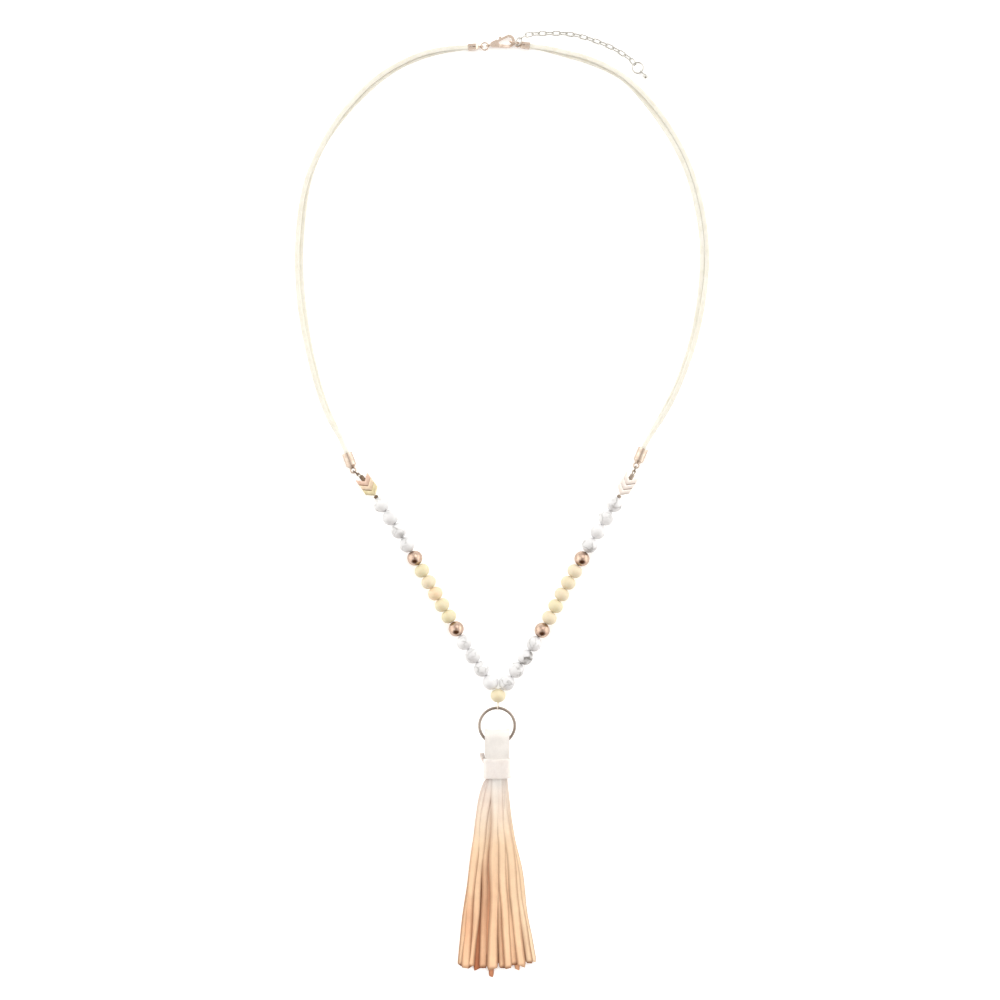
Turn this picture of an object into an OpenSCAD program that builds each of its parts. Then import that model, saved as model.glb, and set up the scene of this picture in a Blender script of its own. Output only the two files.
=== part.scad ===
// Tassel necklace lying flat: suede laces to the neck, beaded strings to a ring, a suede tassel on the ring.
// Millimetres. +Y points from the tassel to the clasp, +Z is up, and z = 0 is the surface it lies on.

/* [Beads] */
// Diameter of a howlite bead
howlite_d = 8; // [6.5:0.1:8.3]
// Diameter of a metal bead
metal_d = 7.8; // [6:0.1:8.3]
// Diameter of a wood bead
wood_d = 7.7; // [6.8:0.1:8.2]
// Length of a wood bead along its hole
wood_l = 6.6; // [5:0.1:7.4]
// Bore of the howlite and metal beads
bead_bore = 1.2; // [1:0.1:2]
// Bore of a wood bead
wood_bore = 1.6; // [1.5:0.1:2.4]
// Gap between neighbours on the string
bead_gap = 0.1; // [0.06:0.01:0.2]

/* [Chevrons] */
// Width across the arms of a chevron
chevron_w = 7.2; // [5.5:0.1:8]
// Length of a chevron along the string
chevron_l = 2.9; // [2.2:0.1:3.4]
// How far the arms of a chevron sweep back
chevron_sweep = 3.2; // [1.5:0.1:4]
// Thickness of a chevron
chevron_t = 3; // [2.2:0.1:4]
// Bore of a chevron
chevron_bore = 1.4; // [1.3:0.1:1.8]

/* [Thread and crimps] */
// Diameter of the beading thread
thread_d = 0.5; // [0.35:0.05:0.55]
// Clearance round the thread where it passes a wire
thread_gap = 0.12; // [0.1:0.01:0.2]
// Diameter of a crimp tube
crimp_d = 2.2; // [2:0.1:2.6]
// Length of the crimp tube above the chevrons
crimp_l = 3.4; // [2:0.1:3.6]
// Length of the short crimp tube below the chevrons
stop_l = 1.2; // [0.8:0.1:2]
// Bore of a crimp tube
crimp_bore = 1.4; // [1.3:0.05:1.6]

/* [End caps] */
// Diameter of the barrel of an end cap
cap_d = 5.2; // [5:0.1:6]
// Length of the barrel of an end cap
cap_l = 6.6; // [5:0.1:9]
// Wall of an end cap
cap_wall = 0.6; // [0.4:0.05:0.6]
// Length of the shoulder between the barrel and its loop
cap_shoulder = 1.4; // [0.8:0.1:2.5]
// Outer diameter of the loop on an end cap
cap_loop_d = 3.4; // [3.2:0.1:4.2]
// Outer diameter of the jump ring between an end cap and the thread
cap_ring_d = 3.6; // [3.4:0.1:4.6]

/* [Laces] */
// Width of a suede lace
lace_w = 2.3; // [2:0.1:2.5]
// Thickness of a suede lace
lace_t = 1.3; // [1:0.05:1.4]
// Gap between the two laces of a side
lace_gap = 0.1; // [0.06:0.01:0.2]

/* [Findings] */
// Wire of the loops on the caps, cord ends and clasp
loop_wire = 0.8; // [0.6:0.05:0.9]
// Wire of the jump rings
ring_wire = 0.7; // [0.5:0.05:0.75]
// Clearance between linked wires
link_gap = 0.1; // [0.08:0.01:0.14]
// Outer diameter of the small loops on the cord ends and the clasp
end_loop_d = 3; // [2.9:0.1:3.4]
// Length of the straight part of a cord end
cord_end_l = 4; // [2.4:0.1:5]
// Length of the tapered neck of a cord end
cord_end_neck = 1.2; // [0.8:0.1:2]
// Wall of a cord end
cord_end_wall = 0.3; // [0.25:0.05:0.4]
// Clearance between the laces and their cord end
cord_end_gap = 0.06; // [0.05:0.01:0.1]
// Outer diameter of the jump ring on the clasp's loop
clasp_ring_d = 4.4; // [4:0.1:5.5]
// Outer diameter of the jump ring that the clasp hooks
hook_ring_d = 5; // [4.8:0.1:5.4]

/* [Clasp] */
// Length of the clasp without its loop
clasp_l = 13.4; // [12.8:0.1:14.6]
// Width of the clasp
clasp_w = 6.6; // [6.2:0.1:7]
// Thickness of the clasp at its hinge
clasp_t = 2.4; // [2.2:0.1:2.8]
// Thickness of the hook
hook_t = 1.4; // [1.2:0.1:1.5]
// Width of the hook's wall
hook_w = 1.25; // [1.1:0.05:1.3]
// Length of the lever from its hinge to the end of its arm
lever_l = 6; // [5.6:0.1:6.2]
// Width of the lever
lever_w = 1.1; // [0.9:0.05:1.2]
// Thickness of the lever
lever_t = 1.1; // [0.8:0.05:1.2]
// Diameter of the hinge pin
hinge_pin_d = 0.7; // [0.5:0.05:0.75]
// Running clearance round the hinge pin
hinge_gap = 0.05; // [0.02:0.01:0.08]
// Clearance between the lever and the clasp
lever_gap = 0.12; // [0.1:0.01:0.2]

/* [Extender chain] */
// Length of a chain link
link_l = 4.8; // [4.4:0.1:5.2]
// Width of a chain link
link_w = 2.8; // [2.7:0.1:3.2]
// Wire of a chain link
link_wire = 0.55; // [0.45:0.05:0.6]
// Slack between two chain links
link_slack = 0.2; // [0.14:0.01:0.24]
// Outer diameter of the ring at the end of the chain
end_ring_d = 6.2; // [5.6:0.1:7]
// Wire of the ring at the end of the chain
end_ring_wire = 0.7; // [0.6:0.05:0.8]
// Diameter of the drop at the end of the chain
drop_d = 2.2; // [1.8:0.1:2.6]
// Length of the drop without its loop
drop_l = 3.4; // [3:0.1:4.5]
// Outer diameter of the drop's loop
drop_loop_d = 2.1; // [2:0.1:2.3]
// Wire of the drop's loop
drop_wire = 0.5; // [0.4:0.05:0.55]

/* [Tassel] */
// Outer diameter of the tassel's ring
ring_d = 19.2; // [17:0.1:21]
// Wire of the tassel's ring
ring_wire_d = 1.4; // [1:0.1:1.8]
// Distance from the centre bead to the middle of the ring's wire
ring_drop = 2.9; // [2.4:0.1:4]
// Width of the folded strips over the ring
head_w = 12.4; // [11.4:0.1:13]
// Thickness of the folded strips over the ring
head_t = 9.4; // [8:0.1:9.8]
// Height of the fold above the ring's wire
head_rise = 7.4; // [5:0.1:9]
// Distance from the ring's wire down to the tie
head_drop = 7.4; // [6:0.1:10]
// Clearance between the strips and the ring
head_gap = 0.3; // [0.15:0.01:0.4]
// Width of the tie round the neck
tie_w = 13.9; // [13.4:0.1:15]
// Thickness of the tied neck
tie_t = 10.2; // [10:0.1:11]
// Length of the tie along the tassel
tie_l = 10; // [7:0.1:13]
// Wall of the tie
tie_wall = 1.2; // [1:0.05:1.3]
// Clearance between the tie and the neck
tie_gap = 0.15; // [0.1:0.01:0.3]
// Length of the tab at the side of the tie
tab_l = 5.2; // [4:0.1:6]
// How far the tab stands above the tie
tab_rise = 3.2; // [2:0.1:4]
// Thickness of the tab, of which a wall of the tie stands outside the tie
tab_t = 1.7; // [1.5:0.1:2]
// Width of the tab
tab_w = 3; // [2.4:0.1:4]
// Width of a tassel strip
strip_w = 3; // [2.4:0.1:3.2]
// Thickness of a tassel strip
strip_t = 1.1; // [0.9:0.05:1.4]
// Length of the longest strip below the tie
strip_l = 101; // [80:1:120]
// Half of the spread of the strips at their tips
strip_spread = 18.7; // [15:0.1:22]

/* [Hidden] */
SIDES = ["left", "right"];
// Pieces of one string, from the centre bead up to the end cap
STRING = ["howlite", "howlite", "howlite", "howlite", "metal", "wood", "wood", "wood", "wood", "wood",
    "metal", "howlite", "howlite", "howlite", "howlite", "stop", "chevron", "chevron", "chevron", "crimp"];
CRIMPS = [for (i = [0 : len(STRING) - 1]) if (STRING[i] == "stop" || STRING[i] == "crimp") i];
BEADS = [for (i = [0 : len(STRING) - 1]) if (STRING[i] != "stop" && STRING[i] != "crimp") i];

// Routes of the two strings from the centre bead up, columns x, y, share of the way down to cap height
route_left = [[-1.3, -93.1, 0], [-5.6, -86.7, 0], [-14.8, -73.1, 0], [-24.2, -57.3, 0], [-34.5, -39.8, 0],
    [-43.6, -24, 0], [-51.2, -11, 0], [-60.4, 2.4, 0], [-68.6, 13.8, 1], [-72.6, 16.4, 1], [-76, 25.4, 1],
    [-78.4, 32, 1]];
route_right = [[2.2, -93.3, 0], [7.2, -87, 0], [16.5, -73.6, 0], [25, -59.6, 0], [35.3, -40.2, 0],
    [44.4, -24.4, 0], [51.8, -11.6, 0], [60.4, 2.4, 0], [68.5, 15.1, 1], [70, 19.4, 1], [73.9, 28.6, 1],
    [76.4, 34.6, 1]];
// Centre of the centre bead
centre_at = [0.3, -96.65];
// How far the tassel's ring hangs to one side of the centre bead
ring_shift = -0.5;

// Routes of the pairs of laces from the caps to the cord ends, columns x, y,
// distance apart as a share of side by side, and lift of the outer lace as a share of lying on the inner one
laces_left = [[-79.6, 34, 0.1, 1], [-85, 44.4, 0.45, 1], [-90, 58, 0.5, 1], [-94.2, 74, 0.6, 1],
    [-97.4, 90, 0.75, 1], [-99.6, 108, 0.85, 1], [-100.2, 127, 0.85, 1], [-98.8, 147, 0.8, 1],
    [-95.6, 164, 0.5, 1], [-89, 180, 0.2, 1], [-79.2, 195.4, 0.5, 1], [-65.4, 210.4, 0.7, 1],
    [-52, 220.4, 0.5, 1], [-38, 226.8, 0.5, 1], [-25, 229.8, 0.3, 1]];
laces_right = [[78, 36, 0.1, 1], [84.6, 47.2, 0.5, 1], [90.2, 58, 0.5, 1], [95.6, 72, 0.6, 1],
    [99.8, 86, 0.7, 1], [102.8, 102, 0.9, 0.9], [104.6, 119, 1, 0.2], [104.2, 136, 1, 0],
    [101.4, 153, 1, 0], [96.4, 169.6, 1, 0], [88.6, 185.6, 1, 0.2], [77.4, 201.6, 0.9, 0.9],
    [63.6, 215.6, 0.4, 1], [47.6, 223.8, 0.6, 1], [34.4, 227.6, 0.5, 1], [24, 230.2, 0.2, 1]];
// Clasp: centre of its loop, its turn, and the turn of the ring that it hooks. The cord ends: their turns
clasp_at = [-4.4, 231.7];
clasp_turn = 12;
hook_turn = -20;
cord_turn_left = 4;
cord_turn_right = -7;
// Route of the extender chain from the hooked ring, columns x, y,
// height above its rest as a share of the first
chain_route = [[11.7, 235, 0.97], [14.6, 236.8, 0.67], [18.4, 237.6, 0.25], [24.5, 237.9, 0],
    [33, 238, 0], [40, 237.1, 0], [47, 235, 0], [53.4, 232.8, 0], [60.6, 229.4, 0], [67.2, 225, 0],
    [71.4, 220, 0]];
link_count = 19;
// Turn of the drop from the +X axis
drop_turn = -48;

// Strips of the tassel, a row each, with columns: root across the neck (-1 to 1),
// tip across the spread (-1 to 1), length as a share, how early it spreads (1 is even),
// root height in the neck (0 to 1), layer at the tip
STRIPS = [
    [-0.9, -0.99, 0.905, 0.6, 0.45, 0], [-0.75, -0.86, 0.94, 0.6, 0.75, 1],
    [-0.55, -0.72, 0.945, 0.75, 0.9, 1], [-0.8, -0.9, 0.92, 0.8, 0.2, 0],
    [-0.5, -0.55, 0.965, 0.9, 0.3, 0], [-0.4, -0.38, 0.955, 0.9, 0.8, 0],
    [-0.2, -0.16, 1, 1, 0.5, 0], [-0.15, -0.1, 0.97, 0.9, 0.95, 1],
    [0, 0.08, 0.965, 1.1, 0.9, 2], [0, 0.02, 0.93, 1, 0.1, 0],
    [0.2, 0.3, 0.955, 1.2, 0.95, 1], [0.25, 0.2, 0.94, 1, 0.3, 0],
    [0.35, 0.47, 0.94, 1.2, 0.9, 2], [0.4, 0.55, 0.98, 1.1, 0.4, 0],
    [0.5, 0.67, 0.945, 1.2, 0.85, 1], [0.65, 0.88, 0.93, 1.1, 0.7, 1],
    [0.6, 0.8, 0.91, 1, 0.25, 0], [0.85, 0.98, 0.9, 1.1, 0.45, 0],
    [-0.3, -0.3, 0.9, 1, 0.1, 0], [-0.65, -0.65, 0.89, 0.9, 0.1, 0],
    [0.45, 0.38, 0.9, 1, 0.1, 0], [-0.05, -0.04, 0.9, 1, 0.6, 1],
    [0.1, 0.2, 0.9, 1, 0.65, 1], [-0.35, -0.25, 0.9, 1, 0.55, 1]];
strip_sections = 7;
// The heart of the tassel under its strips, columns distance below the tie as a share of the strips' length,
// width and thickness as shares of the neck's
HEART = [[0.006, 0.93, 0.93], [0.09, 0.93, 0.8], [0.31, 1, 0.59], [0.72, 1.1, 0.27]];

// Heights of the axes above the surface
string_z = max(howlite_d, metal_d, wood_d) / 2;
cap_z = cap_d / 2;
neck_z = tie_t / 2;
cord_end_h = 2 * lace_t + lace_gap + 2 * (cord_end_gap + cord_end_wall);
cord_end_w = lace_w + 2 * (cord_end_gap + cord_end_wall);
back_z = cord_end_h / 2;
chain_z = max((link_w - link_wire) / 2 * sin(45) + link_wire / 2, drop_d / 2, drop_loop_d / 2);
hook_ring_z = hook_ring_d / 2;
first_link_z = cord_end_h + link_wire / 2;

howlite_colour = "#eceae6";
wood_colour = "#f0dcae";
metal_colour = "#c99b7c";
steel_colour = "#b9b7b2";
lace_colour = "#f4ecdf";
tassel_colour = "#f2c9a3";
thread_colour = "#8a7762";

// Vectors and routes
function unit(v) = v / norm(v);
function mix(a, b, t) = a + (b - a) * t;
function flat(p, z) = [p.x, p.y, z];
function along(path, s, i = 0) =
    let (leg = path[i + 1] - path[i])
    s <= norm(leg) || i >= len(path) - 2 ? path[i] + unit(leg) * s : along(path, s - norm(leg), i + 1);
function heading(path, i) = unit(path[min(i + 1, len(path) - 1)] - path[max(i - 1, 0)]);

// Pieces of a string
function kind_number(i, kind) = i < 0 ? 0 : kind_number(i - 1, kind) + (STRING[i] == kind ? 1 : 0);
function bead_name(side, i) =
    str(STRING[i], STRING[i] == "chevron" || STRING[i] == "howlite" ? "_" : "_bead_", side, "_",
        kind_number(i, STRING[i]));
function rim_l(d, bore) = sqrt(d * d - bore * bore);
function piece_l(kind) =
    kind == "howlite" ? rim_l(howlite_d, bead_bore) :
    kind == "metal" ? rim_l(metal_d, bead_bore) :
    kind == "wood" ? wood_l :
    kind == "chevron" ? chevron_l :
    kind == "stop" ? stop_l : crimp_l;
function station(i) = i == 0 ? 0 : station(i - 1) + piece_l(STRING[i - 1]) + bead_gap;
string_end = station(len(STRING));
function route(side) =
    [for (p = side == "left" ? route_left : route_right) flat(p, mix(string_z, cap_z, p.z))];
function junction(side, i) = along(route(side), station(i));

// Ring, loop and cap stations beyond the last crimp
thread_r = thread_d / 2;
cap_ring_r = (cap_ring_d - ring_wire) / 2;
thread_loop_r = ring_wire / 2 + thread_gap + thread_r;
ring_low_s = string_end + 2.2 * thread_loop_r;
ring_high_s = ring_low_s + 2 * cap_ring_r;
cap_hole_r = cap_loop_d / 2 - loop_wire;
cap_loop_s = ring_high_s + cap_hole_r - ring_wire / 2 - link_gap;
function cap_loop_at(side) = along(route(side), cap_loop_s);
function cap_heading(side) =
    unit(along(route(side), cap_loop_s + cap_loop_d + cap_shoulder + cap_l) - cap_loop_at(side));
cap_mouth_s = cap_loop_d / 2 - loop_wire / 2 + cap_shoulder + cap_l;
function cap_point(side, s) = cap_loop_at(side) + cap_heading(side) * s;

// Back findings, from the clasp's loop outwards
end_hole_r = end_loop_d / 2 - loop_wire;
clasp_ring_r = (clasp_ring_d - ring_wire) / 2;
hook_ring_r = (hook_ring_d - ring_wire) / 2;
ring_seat = end_hole_r - ring_wire / 2 - link_gap;
clasp_dir = [cos(clasp_turn), sin(clasp_turn), 0];
clasp_loop_at = flat(clasp_at, back_z);
clasp_ring_at = clasp_loop_at - clasp_dir * (ring_seat + clasp_ring_r);
cord_dir_left = [cos(cord_turn_left), sin(cord_turn_left), 0];
cord_dir_right = [cos(cord_turn_right), sin(cord_turn_right), 0];
hook_dir = [cos(hook_turn), sin(hook_turn), 0];
hook_r = clasp_w / 2;
hook_at = [clasp_l - hook_r, 0];
hook_floor = hook_ring_z - back_z + hook_t / 2;
hook_reach = hook_r - hook_w - link_gap - 0.1
    + sqrt(pow(hook_ring_r - ring_wire / 2, 2) - hook_floor * hook_floor);
hook_ring_at = flat(clasp_at, hook_ring_z) + clasp_dir * hook_at.x + hook_dir * hook_reach;
function hook_wire(z) =
    flat(hook_ring_at, z) + hook_dir * sqrt(pow(hook_ring_r, 2) - pow(z - hook_ring_z, 2));
cord_loop_left = clasp_ring_at - cord_dir_left * (ring_seat + clasp_ring_r);
cord_loop_right = hook_wire(back_z);
cord_mouth = end_loop_d / 2 - loop_wire / 2 + cord_end_neck + cord_end_l;
function cord_point(side, s) =
    side == "left" ? cord_loop_left - cord_dir_left * s : cord_loop_right + cord_dir_right * s;

// Laces: the outer one of a pair lies to the outside of the loop, and on top where they lap
lace_pitch = lace_w + lace_gap;
lace_rise = lace_t + lace_gap;
function lace_row(p, apart, lift) = [p.x, p.y, p.z, apart, lift];
function lace_rows(side) =
    concat(
        [for (back = [2 - cap_l, 0, 2]) lace_row(cap_point(side, cap_mouth_s + back), 0, 1)],
        [for (p = side == "left" ? laces_left : laces_right)
            [p.x, p.y, lace_t / 2 + p[3] * lace_rise / 2, p[2], p[3]]],
        [for (back = [2, 0, -2.4]) lace_row(cord_point(side, cord_mouth + back), 0, 1)]);
// Halves each step of a list along a smooth curve
function smooth(list) =
    let (last = len(list) - 1)
    concat([for (i = [0 : last - 1]) each [list[i],
        (9 * (list[i] + list[i + 1]) - list[max(i - 1, 0)] - list[min(i + 2, last)]) / 16]], [list[last]]);
function lace_path(side, place) =
    let (rows = smooth(lace_rows(side)), line = [for (p = rows) [p[0], p[1], p[2]]],
        out = side == "left" ? 1 : -1, sign = place == "outer" ? 1 : -1)
    [for (i = [0 : len(line) - 1])
        let (across = unit(cross([0, 0, 1], flat(heading(line, i), 0))))
        line[i] + sign * (out * rows[i][3] * lace_pitch / 2 * across + [0, 0, rows[i][4] * lace_rise / 2])];
lace_bevel = lace_t / 4;
lace_section = [[lace_w / 2, lace_bevel - lace_t / 2], [lace_w / 2, lace_t / 2 - lace_bevel],
    [lace_w / 2 - lace_bevel, lace_t / 2], [lace_bevel - lace_w / 2, lace_t / 2],
    [-lace_w / 2, lace_t / 2 - lace_bevel], [-lace_w / 2, lace_bevel - lace_t / 2],
    [lace_bevel - lace_w / 2, -lace_t / 2], [lace_w / 2 - lace_bevel, -lace_t / 2]];

// Tassel: the ring leans from the height of the thread to that of the neck
ring_r = (ring_d - ring_wire_d) / 2;
thread_top = [centre_at.x, centre_at.y - wood_l / 2 - ring_drop, string_z];
ring_top = thread_top + [ring_shift, 0, 0];
ring_lean = asin((neck_z - string_z) / (2 * ring_r));
ring_at = ring_top + [0, -ring_r * cos(ring_lean), ring_r * sin(ring_lean)];
ring_low = ring_top + [0, -2 * ring_r * cos(ring_lean), 2 * ring_r * sin(ring_lean)];
fold_y = ring_low.y + head_rise;
tie_y = ring_low.y - head_drop;
neck_y = tie_y - tie_l;
neck_w = tie_w - 2 * (tie_wall + tie_gap);
neck_t = tie_t - 2 * (tie_wall + tie_gap);
shoulder = head_w * 0.15;
slab_t = 0.2;
// Where the strips begin to spread below the tie, and how far their roots reach up into the neck
strip_start = strip_w * 0.2;
strip_root = strip_w;

// Clasp outline: a teardrop round a teardrop opening, with the gate on its +Y side
hinge_at = [clasp_l * 0.3, clasp_w * 0.14];
gate_angle = 15;

// Sweeps a section along a path, its first axis level or across the given vector
module swept(path, section, across = [0, 0, 1]) {
    n = len(section);
    last = len(path) - 1;
    points = [for (i = [0 : last])
        let (t = heading(path, i), side = unit(cross(across, t)), up = cross(t, side))
        for (q = section) path[i] + q.x * side + q.y * up];
    walls = [for (i = [0 : last - 1], j = [0 : n - 1])
        let (a = i * n + j, b = i * n + (j + 1) % n, c = b + n, d = a + n)
        each [[a, d, c], [a, c, b]]];
    polyhedron(points,
        concat([[for (j = [0 : n - 1]) j]], walls, [[for (j = [n - 1 : -1 : 0]) last * n + j]]));
}

function round_section(r, sides) =
    [for (j = [0 : sides - 1]) r * [cos(360 * j / sides), sin(360 * j / sides)]];

// Stands a piece between two points, its Z along them
module between(a, b) {
    v = b - a;
    translate((a + b) / 2)
        rotate([0, acos(v.z / norm(v)), atan2(v.y, v.x)]) children();
}

module round_bead(d, bore) {
    difference() {
        sphere(d = d, $fn = 48);
        cylinder(d = bore, h = d + 2, center = true, $fn = 24);
    }
}

// A bead with round sides and small flat ends
module barrel_bead(d, l, bore) {
    rotate_extrude($fn = 48)
        difference() {
            union() {
                translate([(d - l) / 2, 0]) circle(d = l, $fn = 48);
                translate([0, -l / 2]) square([(d - l) / 2, l]);
            }
            translate([-l, -l]) square([l + bore / 2, 2 * l]);
        }
}

// A chevron whose point leads down the string
module chevron() {
    half = chevron_w / 2;
    low = -chevron_l / 2;
    high = chevron_l / 2;
    difference() {
        rotate([90, 0, 90])
            linear_extrude(chevron_t, center = true)
                polygon([[0, low], [half, low + chevron_sweep], [half, high + chevron_sweep], [0, high],
                    [-half, high + chevron_sweep], [-half, low + chevron_sweep]]);
        cylinder(d = chevron_bore, h = 2 * chevron_w, center = true, $fn = 24);
        translate([0, 0, high]) cylinder(d = crimp_d + 2 * bead_gap, h = chevron_w, $fn = 32);
    }
}

module crimp(l) {
    difference() {
        cylinder(d = crimp_d, h = l, center = true, $fn = 32);
        cylinder(d = crimp_bore, h = l + 2, center = true, $fn = 24);
    }
}

// A ring of round wire with its axis along Z
module wire_ring(d, wire) {
    rotate_extrude($fn = 64) translate([(d - wire) / 2, 0]) circle(d = wire, $fn = 24);
}

module string_piece(side, i) {
    kind = STRING[i];
    between(junction(side, i), junction(side, i + 1)) {
        if (kind == "howlite") color(howlite_colour) round_bead(howlite_d, bead_bore);
        if (kind == "metal") color(metal_colour) round_bead(metal_d, bead_bore);
        if (kind == "wood") color(wood_colour) barrel_bead(wood_d, wood_l, wood_bore);
        if (kind == "chevron") color(metal_colour) chevron();
        if (kind == "stop" || kind == "crimp") color(metal_colour) crimp(piece_l(kind));
    }
}

module centre_bead() {
    color(wood_colour)
        translate(flat(centre_at, string_z)) rotate([90, 0, 0]) barrel_bead(wood_d, wood_l, wood_bore);
}

module crimps(side) {
    for (i = CRIMPS) string_piece(side, i);
}

// The thread from the centre bead up one string, round the jump ring and back into the last crimp
strand_x = 0.7 * thread_d;
function strand(side) =
    let (path = route(side), n = len(STRING), last = junction(side, n),
        d = unit(last - junction(side, n - 1)), across = unit(cross([0, 0, 1], d)),
        wire = along(path, ring_low_s))
    concat(
        [for (i = [0 : n - 1]) junction(side, i) - (i == n - 1 ? 0.6 * thread_d * across : [0, 0, 0])],
        [last - 0.6 * thread_d * across],
        [for (a = [-120 : 40 : 120]) wire + thread_loop_r * (cos(a) * d + sin(a) * across)],
        [last + 0.6 * thread_d * across, last - (crimp_l - 0.4) * d + 0.6 * thread_d * across]);
function entry(sign) =
    let (top = flat(centre_at, string_z) + [0, wood_l / 2, 0])
    [top + [sign * 2.2 * strand_x, 0.8 * thread_d, 0], top + [sign * 1.3 * strand_x, 0.4 * thread_d, 0],
    top + [sign * strand_x, -0.6 * thread_d, 0], top + [sign * strand_x, -wood_l - thread_d, 0]];
wrap_r = ring_wire_d / 2 + thread_gap + thread_r;
function wrap_point(a) = thread_top + [strand_x * (a - 180) / 120, wrap_r * cos(a), wrap_r * sin(a)];
function backwards(list) = [for (i = [len(list) - 1 : -1 : 0]) list[i]];

module thread() {
    path = concat(backwards(strand("left")), entry(-1), [for (a = [60 : 40 : 300]) wrap_point(a)],
        backwards(entry(1)), strand("right"));
    color(thread_colour) swept(path, round_section(thread_r, 6), [1, 0, 1]);
}

module end_cap(side) {
    v = cap_heading(side);
    barrel_z = cap_loop_d / 2 - loop_wire / 2 + cap_shoulder;
    color(metal_colour)
        translate(cap_loop_at(side))
            rotate([0, 90, atan2(v.y, v.x)]) {
                rotate([0, 90, 0]) wire_ring(cap_loop_d, loop_wire);
                rotate_extrude($fn = 48)
                    polygon([[0, cap_loop_d / 2 - loop_wire], [loop_wire, cap_loop_d / 2 - loop_wire],
                        [cap_d / 2, barrel_z], [cap_d / 2, barrel_z + cap_l],
                        [cap_d / 2 - cap_wall, barrel_z + cap_l], [cap_d / 2 - cap_wall, barrel_z + cap_wall],
                        [0, barrel_z + cap_wall]]);
            }
}

module cap_ring(side) {
    low = along(route(side), ring_low_s);
    high = along(route(side), ring_high_s);
    v = high - low;
    color(metal_colour)
        translate(low + unit(v) * cap_ring_r)
            rotate([90, 0, atan2(v.y, v.x)]) wire_ring(cap_ring_d, ring_wire);
}

module lace(side, place) {
    color(lace_colour) swept(lace_path(side, place), lace_section);
}

// A folded cord end: a box round the laces with a seam on top, a tapered neck and a loop
module cord_end(side) {
    turn = side == "left" ? cord_turn_left + 180 : cord_turn_right;
    neck = end_loop_d / 2 - loop_wire / 2;
    box_x = neck + cord_end_neck;
    color(metal_colour)
        translate(side == "left" ? cord_loop_left : cord_loop_right)
            rotate([0, 0, turn]) {
                rotate([side == "left" ? 90 : 0, 0, 0]) wire_ring(end_loop_d, loop_wire);
                intersection() {
                    linear_extrude(cord_end_h, center = true)
                        polygon([[neck - loop_wire / 4, loop_wire], [box_x, cord_end_w / 2],
                            [box_x + cord_end_wall, cord_end_w / 2], [box_x + cord_end_wall, -cord_end_w / 2],
                            [box_x, -cord_end_w / 2], [neck - loop_wire / 4, -loop_wire]]);
                    rotate([90, 0, 0])
                        linear_extrude(2 * cord_end_w, center = true)
                            polygon([[neck - loop_wire / 4, loop_wire], [box_x, cord_end_h / 2],
                                [box_x + cord_end_wall, cord_end_h / 2],
                                [box_x + cord_end_wall, -cord_end_h / 2], [box_x, -cord_end_h / 2],
                                [neck - loop_wire / 4, -loop_wire]]);
                }
                difference() {
                    translate([box_x, -cord_end_w / 2, -cord_end_h / 2])
                        cube([cord_end_l, cord_end_w, cord_end_h]);
                    translate([box_x + cord_end_wall, cord_end_wall - cord_end_w / 2,
                        cord_end_wall - cord_end_h / 2])
                        cube([cord_end_l, cord_end_w - 2 * cord_end_wall, cord_end_h - 2 * cord_end_wall]);
                    translate([box_x + cord_end_wall, -cord_end_wall / 2, 0])
                        cube([cord_end_l, cord_end_wall, cord_end_h]);
                }
            }
}

module clasp_ring() {
    color(metal_colour) translate(clasp_ring_at) wire_ring(clasp_ring_d, ring_wire);
}

module hook_ring() {
    color(metal_colour)
        translate(hook_ring_at) rotate([90, 0, hook_turn]) wire_ring(hook_ring_d, ring_wire);
}

module at_clasp() {
    translate(clasp_loop_at) rotate([0, 0, clasp_turn]) children();
}

module at_hinge() {
    translate([hinge_at.x, hinge_at.y, 0]) rotate([0, 0, gate_angle]) children();
}

module teardrop(small_x, small_r, big_x, big_r) {
    hull() {
        translate([small_x, 0]) circle(r = small_r, $fn = 32);
        translate([big_x, 0]) circle(r = big_r, $fn = 48);
    }
}

module clasp_body() {
    shoulder_x = end_loop_d / 2 - loop_wire / 2;
    gate_r = lever_l + lever_w / 2 + lever_gap;
    gate_y = -lever_w / 2 - lever_gap;
    slot_t = lever_t + 2 * lever_gap;
    color(metal_colour)
        at_clasp() {
            rotate([90, 0, 0]) wire_ring(end_loop_d, loop_wire);
            difference() {
                intersection() {
                    linear_extrude(clasp_t, center = true)
                        difference() {
                            teardrop(shoulder_x + 1, 1.3, hook_at.x, hook_r);
                            teardrop(hinge_at.x + 2, 0.8, hook_at.x, hook_r - hook_w);
                            translate(hinge_at) rotate(gate_angle)
                                intersection() {
                                    circle(r = gate_r, $fn = 64);
                                    translate([lever_w / 2 + 2 * lever_gap, gate_y])
                                        square([gate_r, clasp_w]);
                                }
                        }
                    rotate([90, 0, 0])
                        linear_extrude(2 * clasp_w, center = true)
                            polygon([[0, -clasp_t / 2], [hinge_at.x + 1, -clasp_t / 2],
                                [hook_at.x, -hook_t / 2], [clasp_l + 1, -hook_t / 2],
                                [clasp_l + 1, hook_t / 2], [hook_at.x, hook_t / 2],
                                [hinge_at.x + 1, clasp_t / 2], [0, clasp_t / 2]]);
                }
                at_hinge()
                    translate([-lever_w / 2 - 2 * lever_gap, gate_y - 0.5, -slot_t / 2])
                        cube([lever_w / 2 + 2 * lever_gap + 2.5, clasp_w, slot_t]);
            }
            at_hinge() cylinder(d = hinge_pin_d, h = clasp_t - 0.4, center = true, $fn = 24);
        }
}

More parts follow.
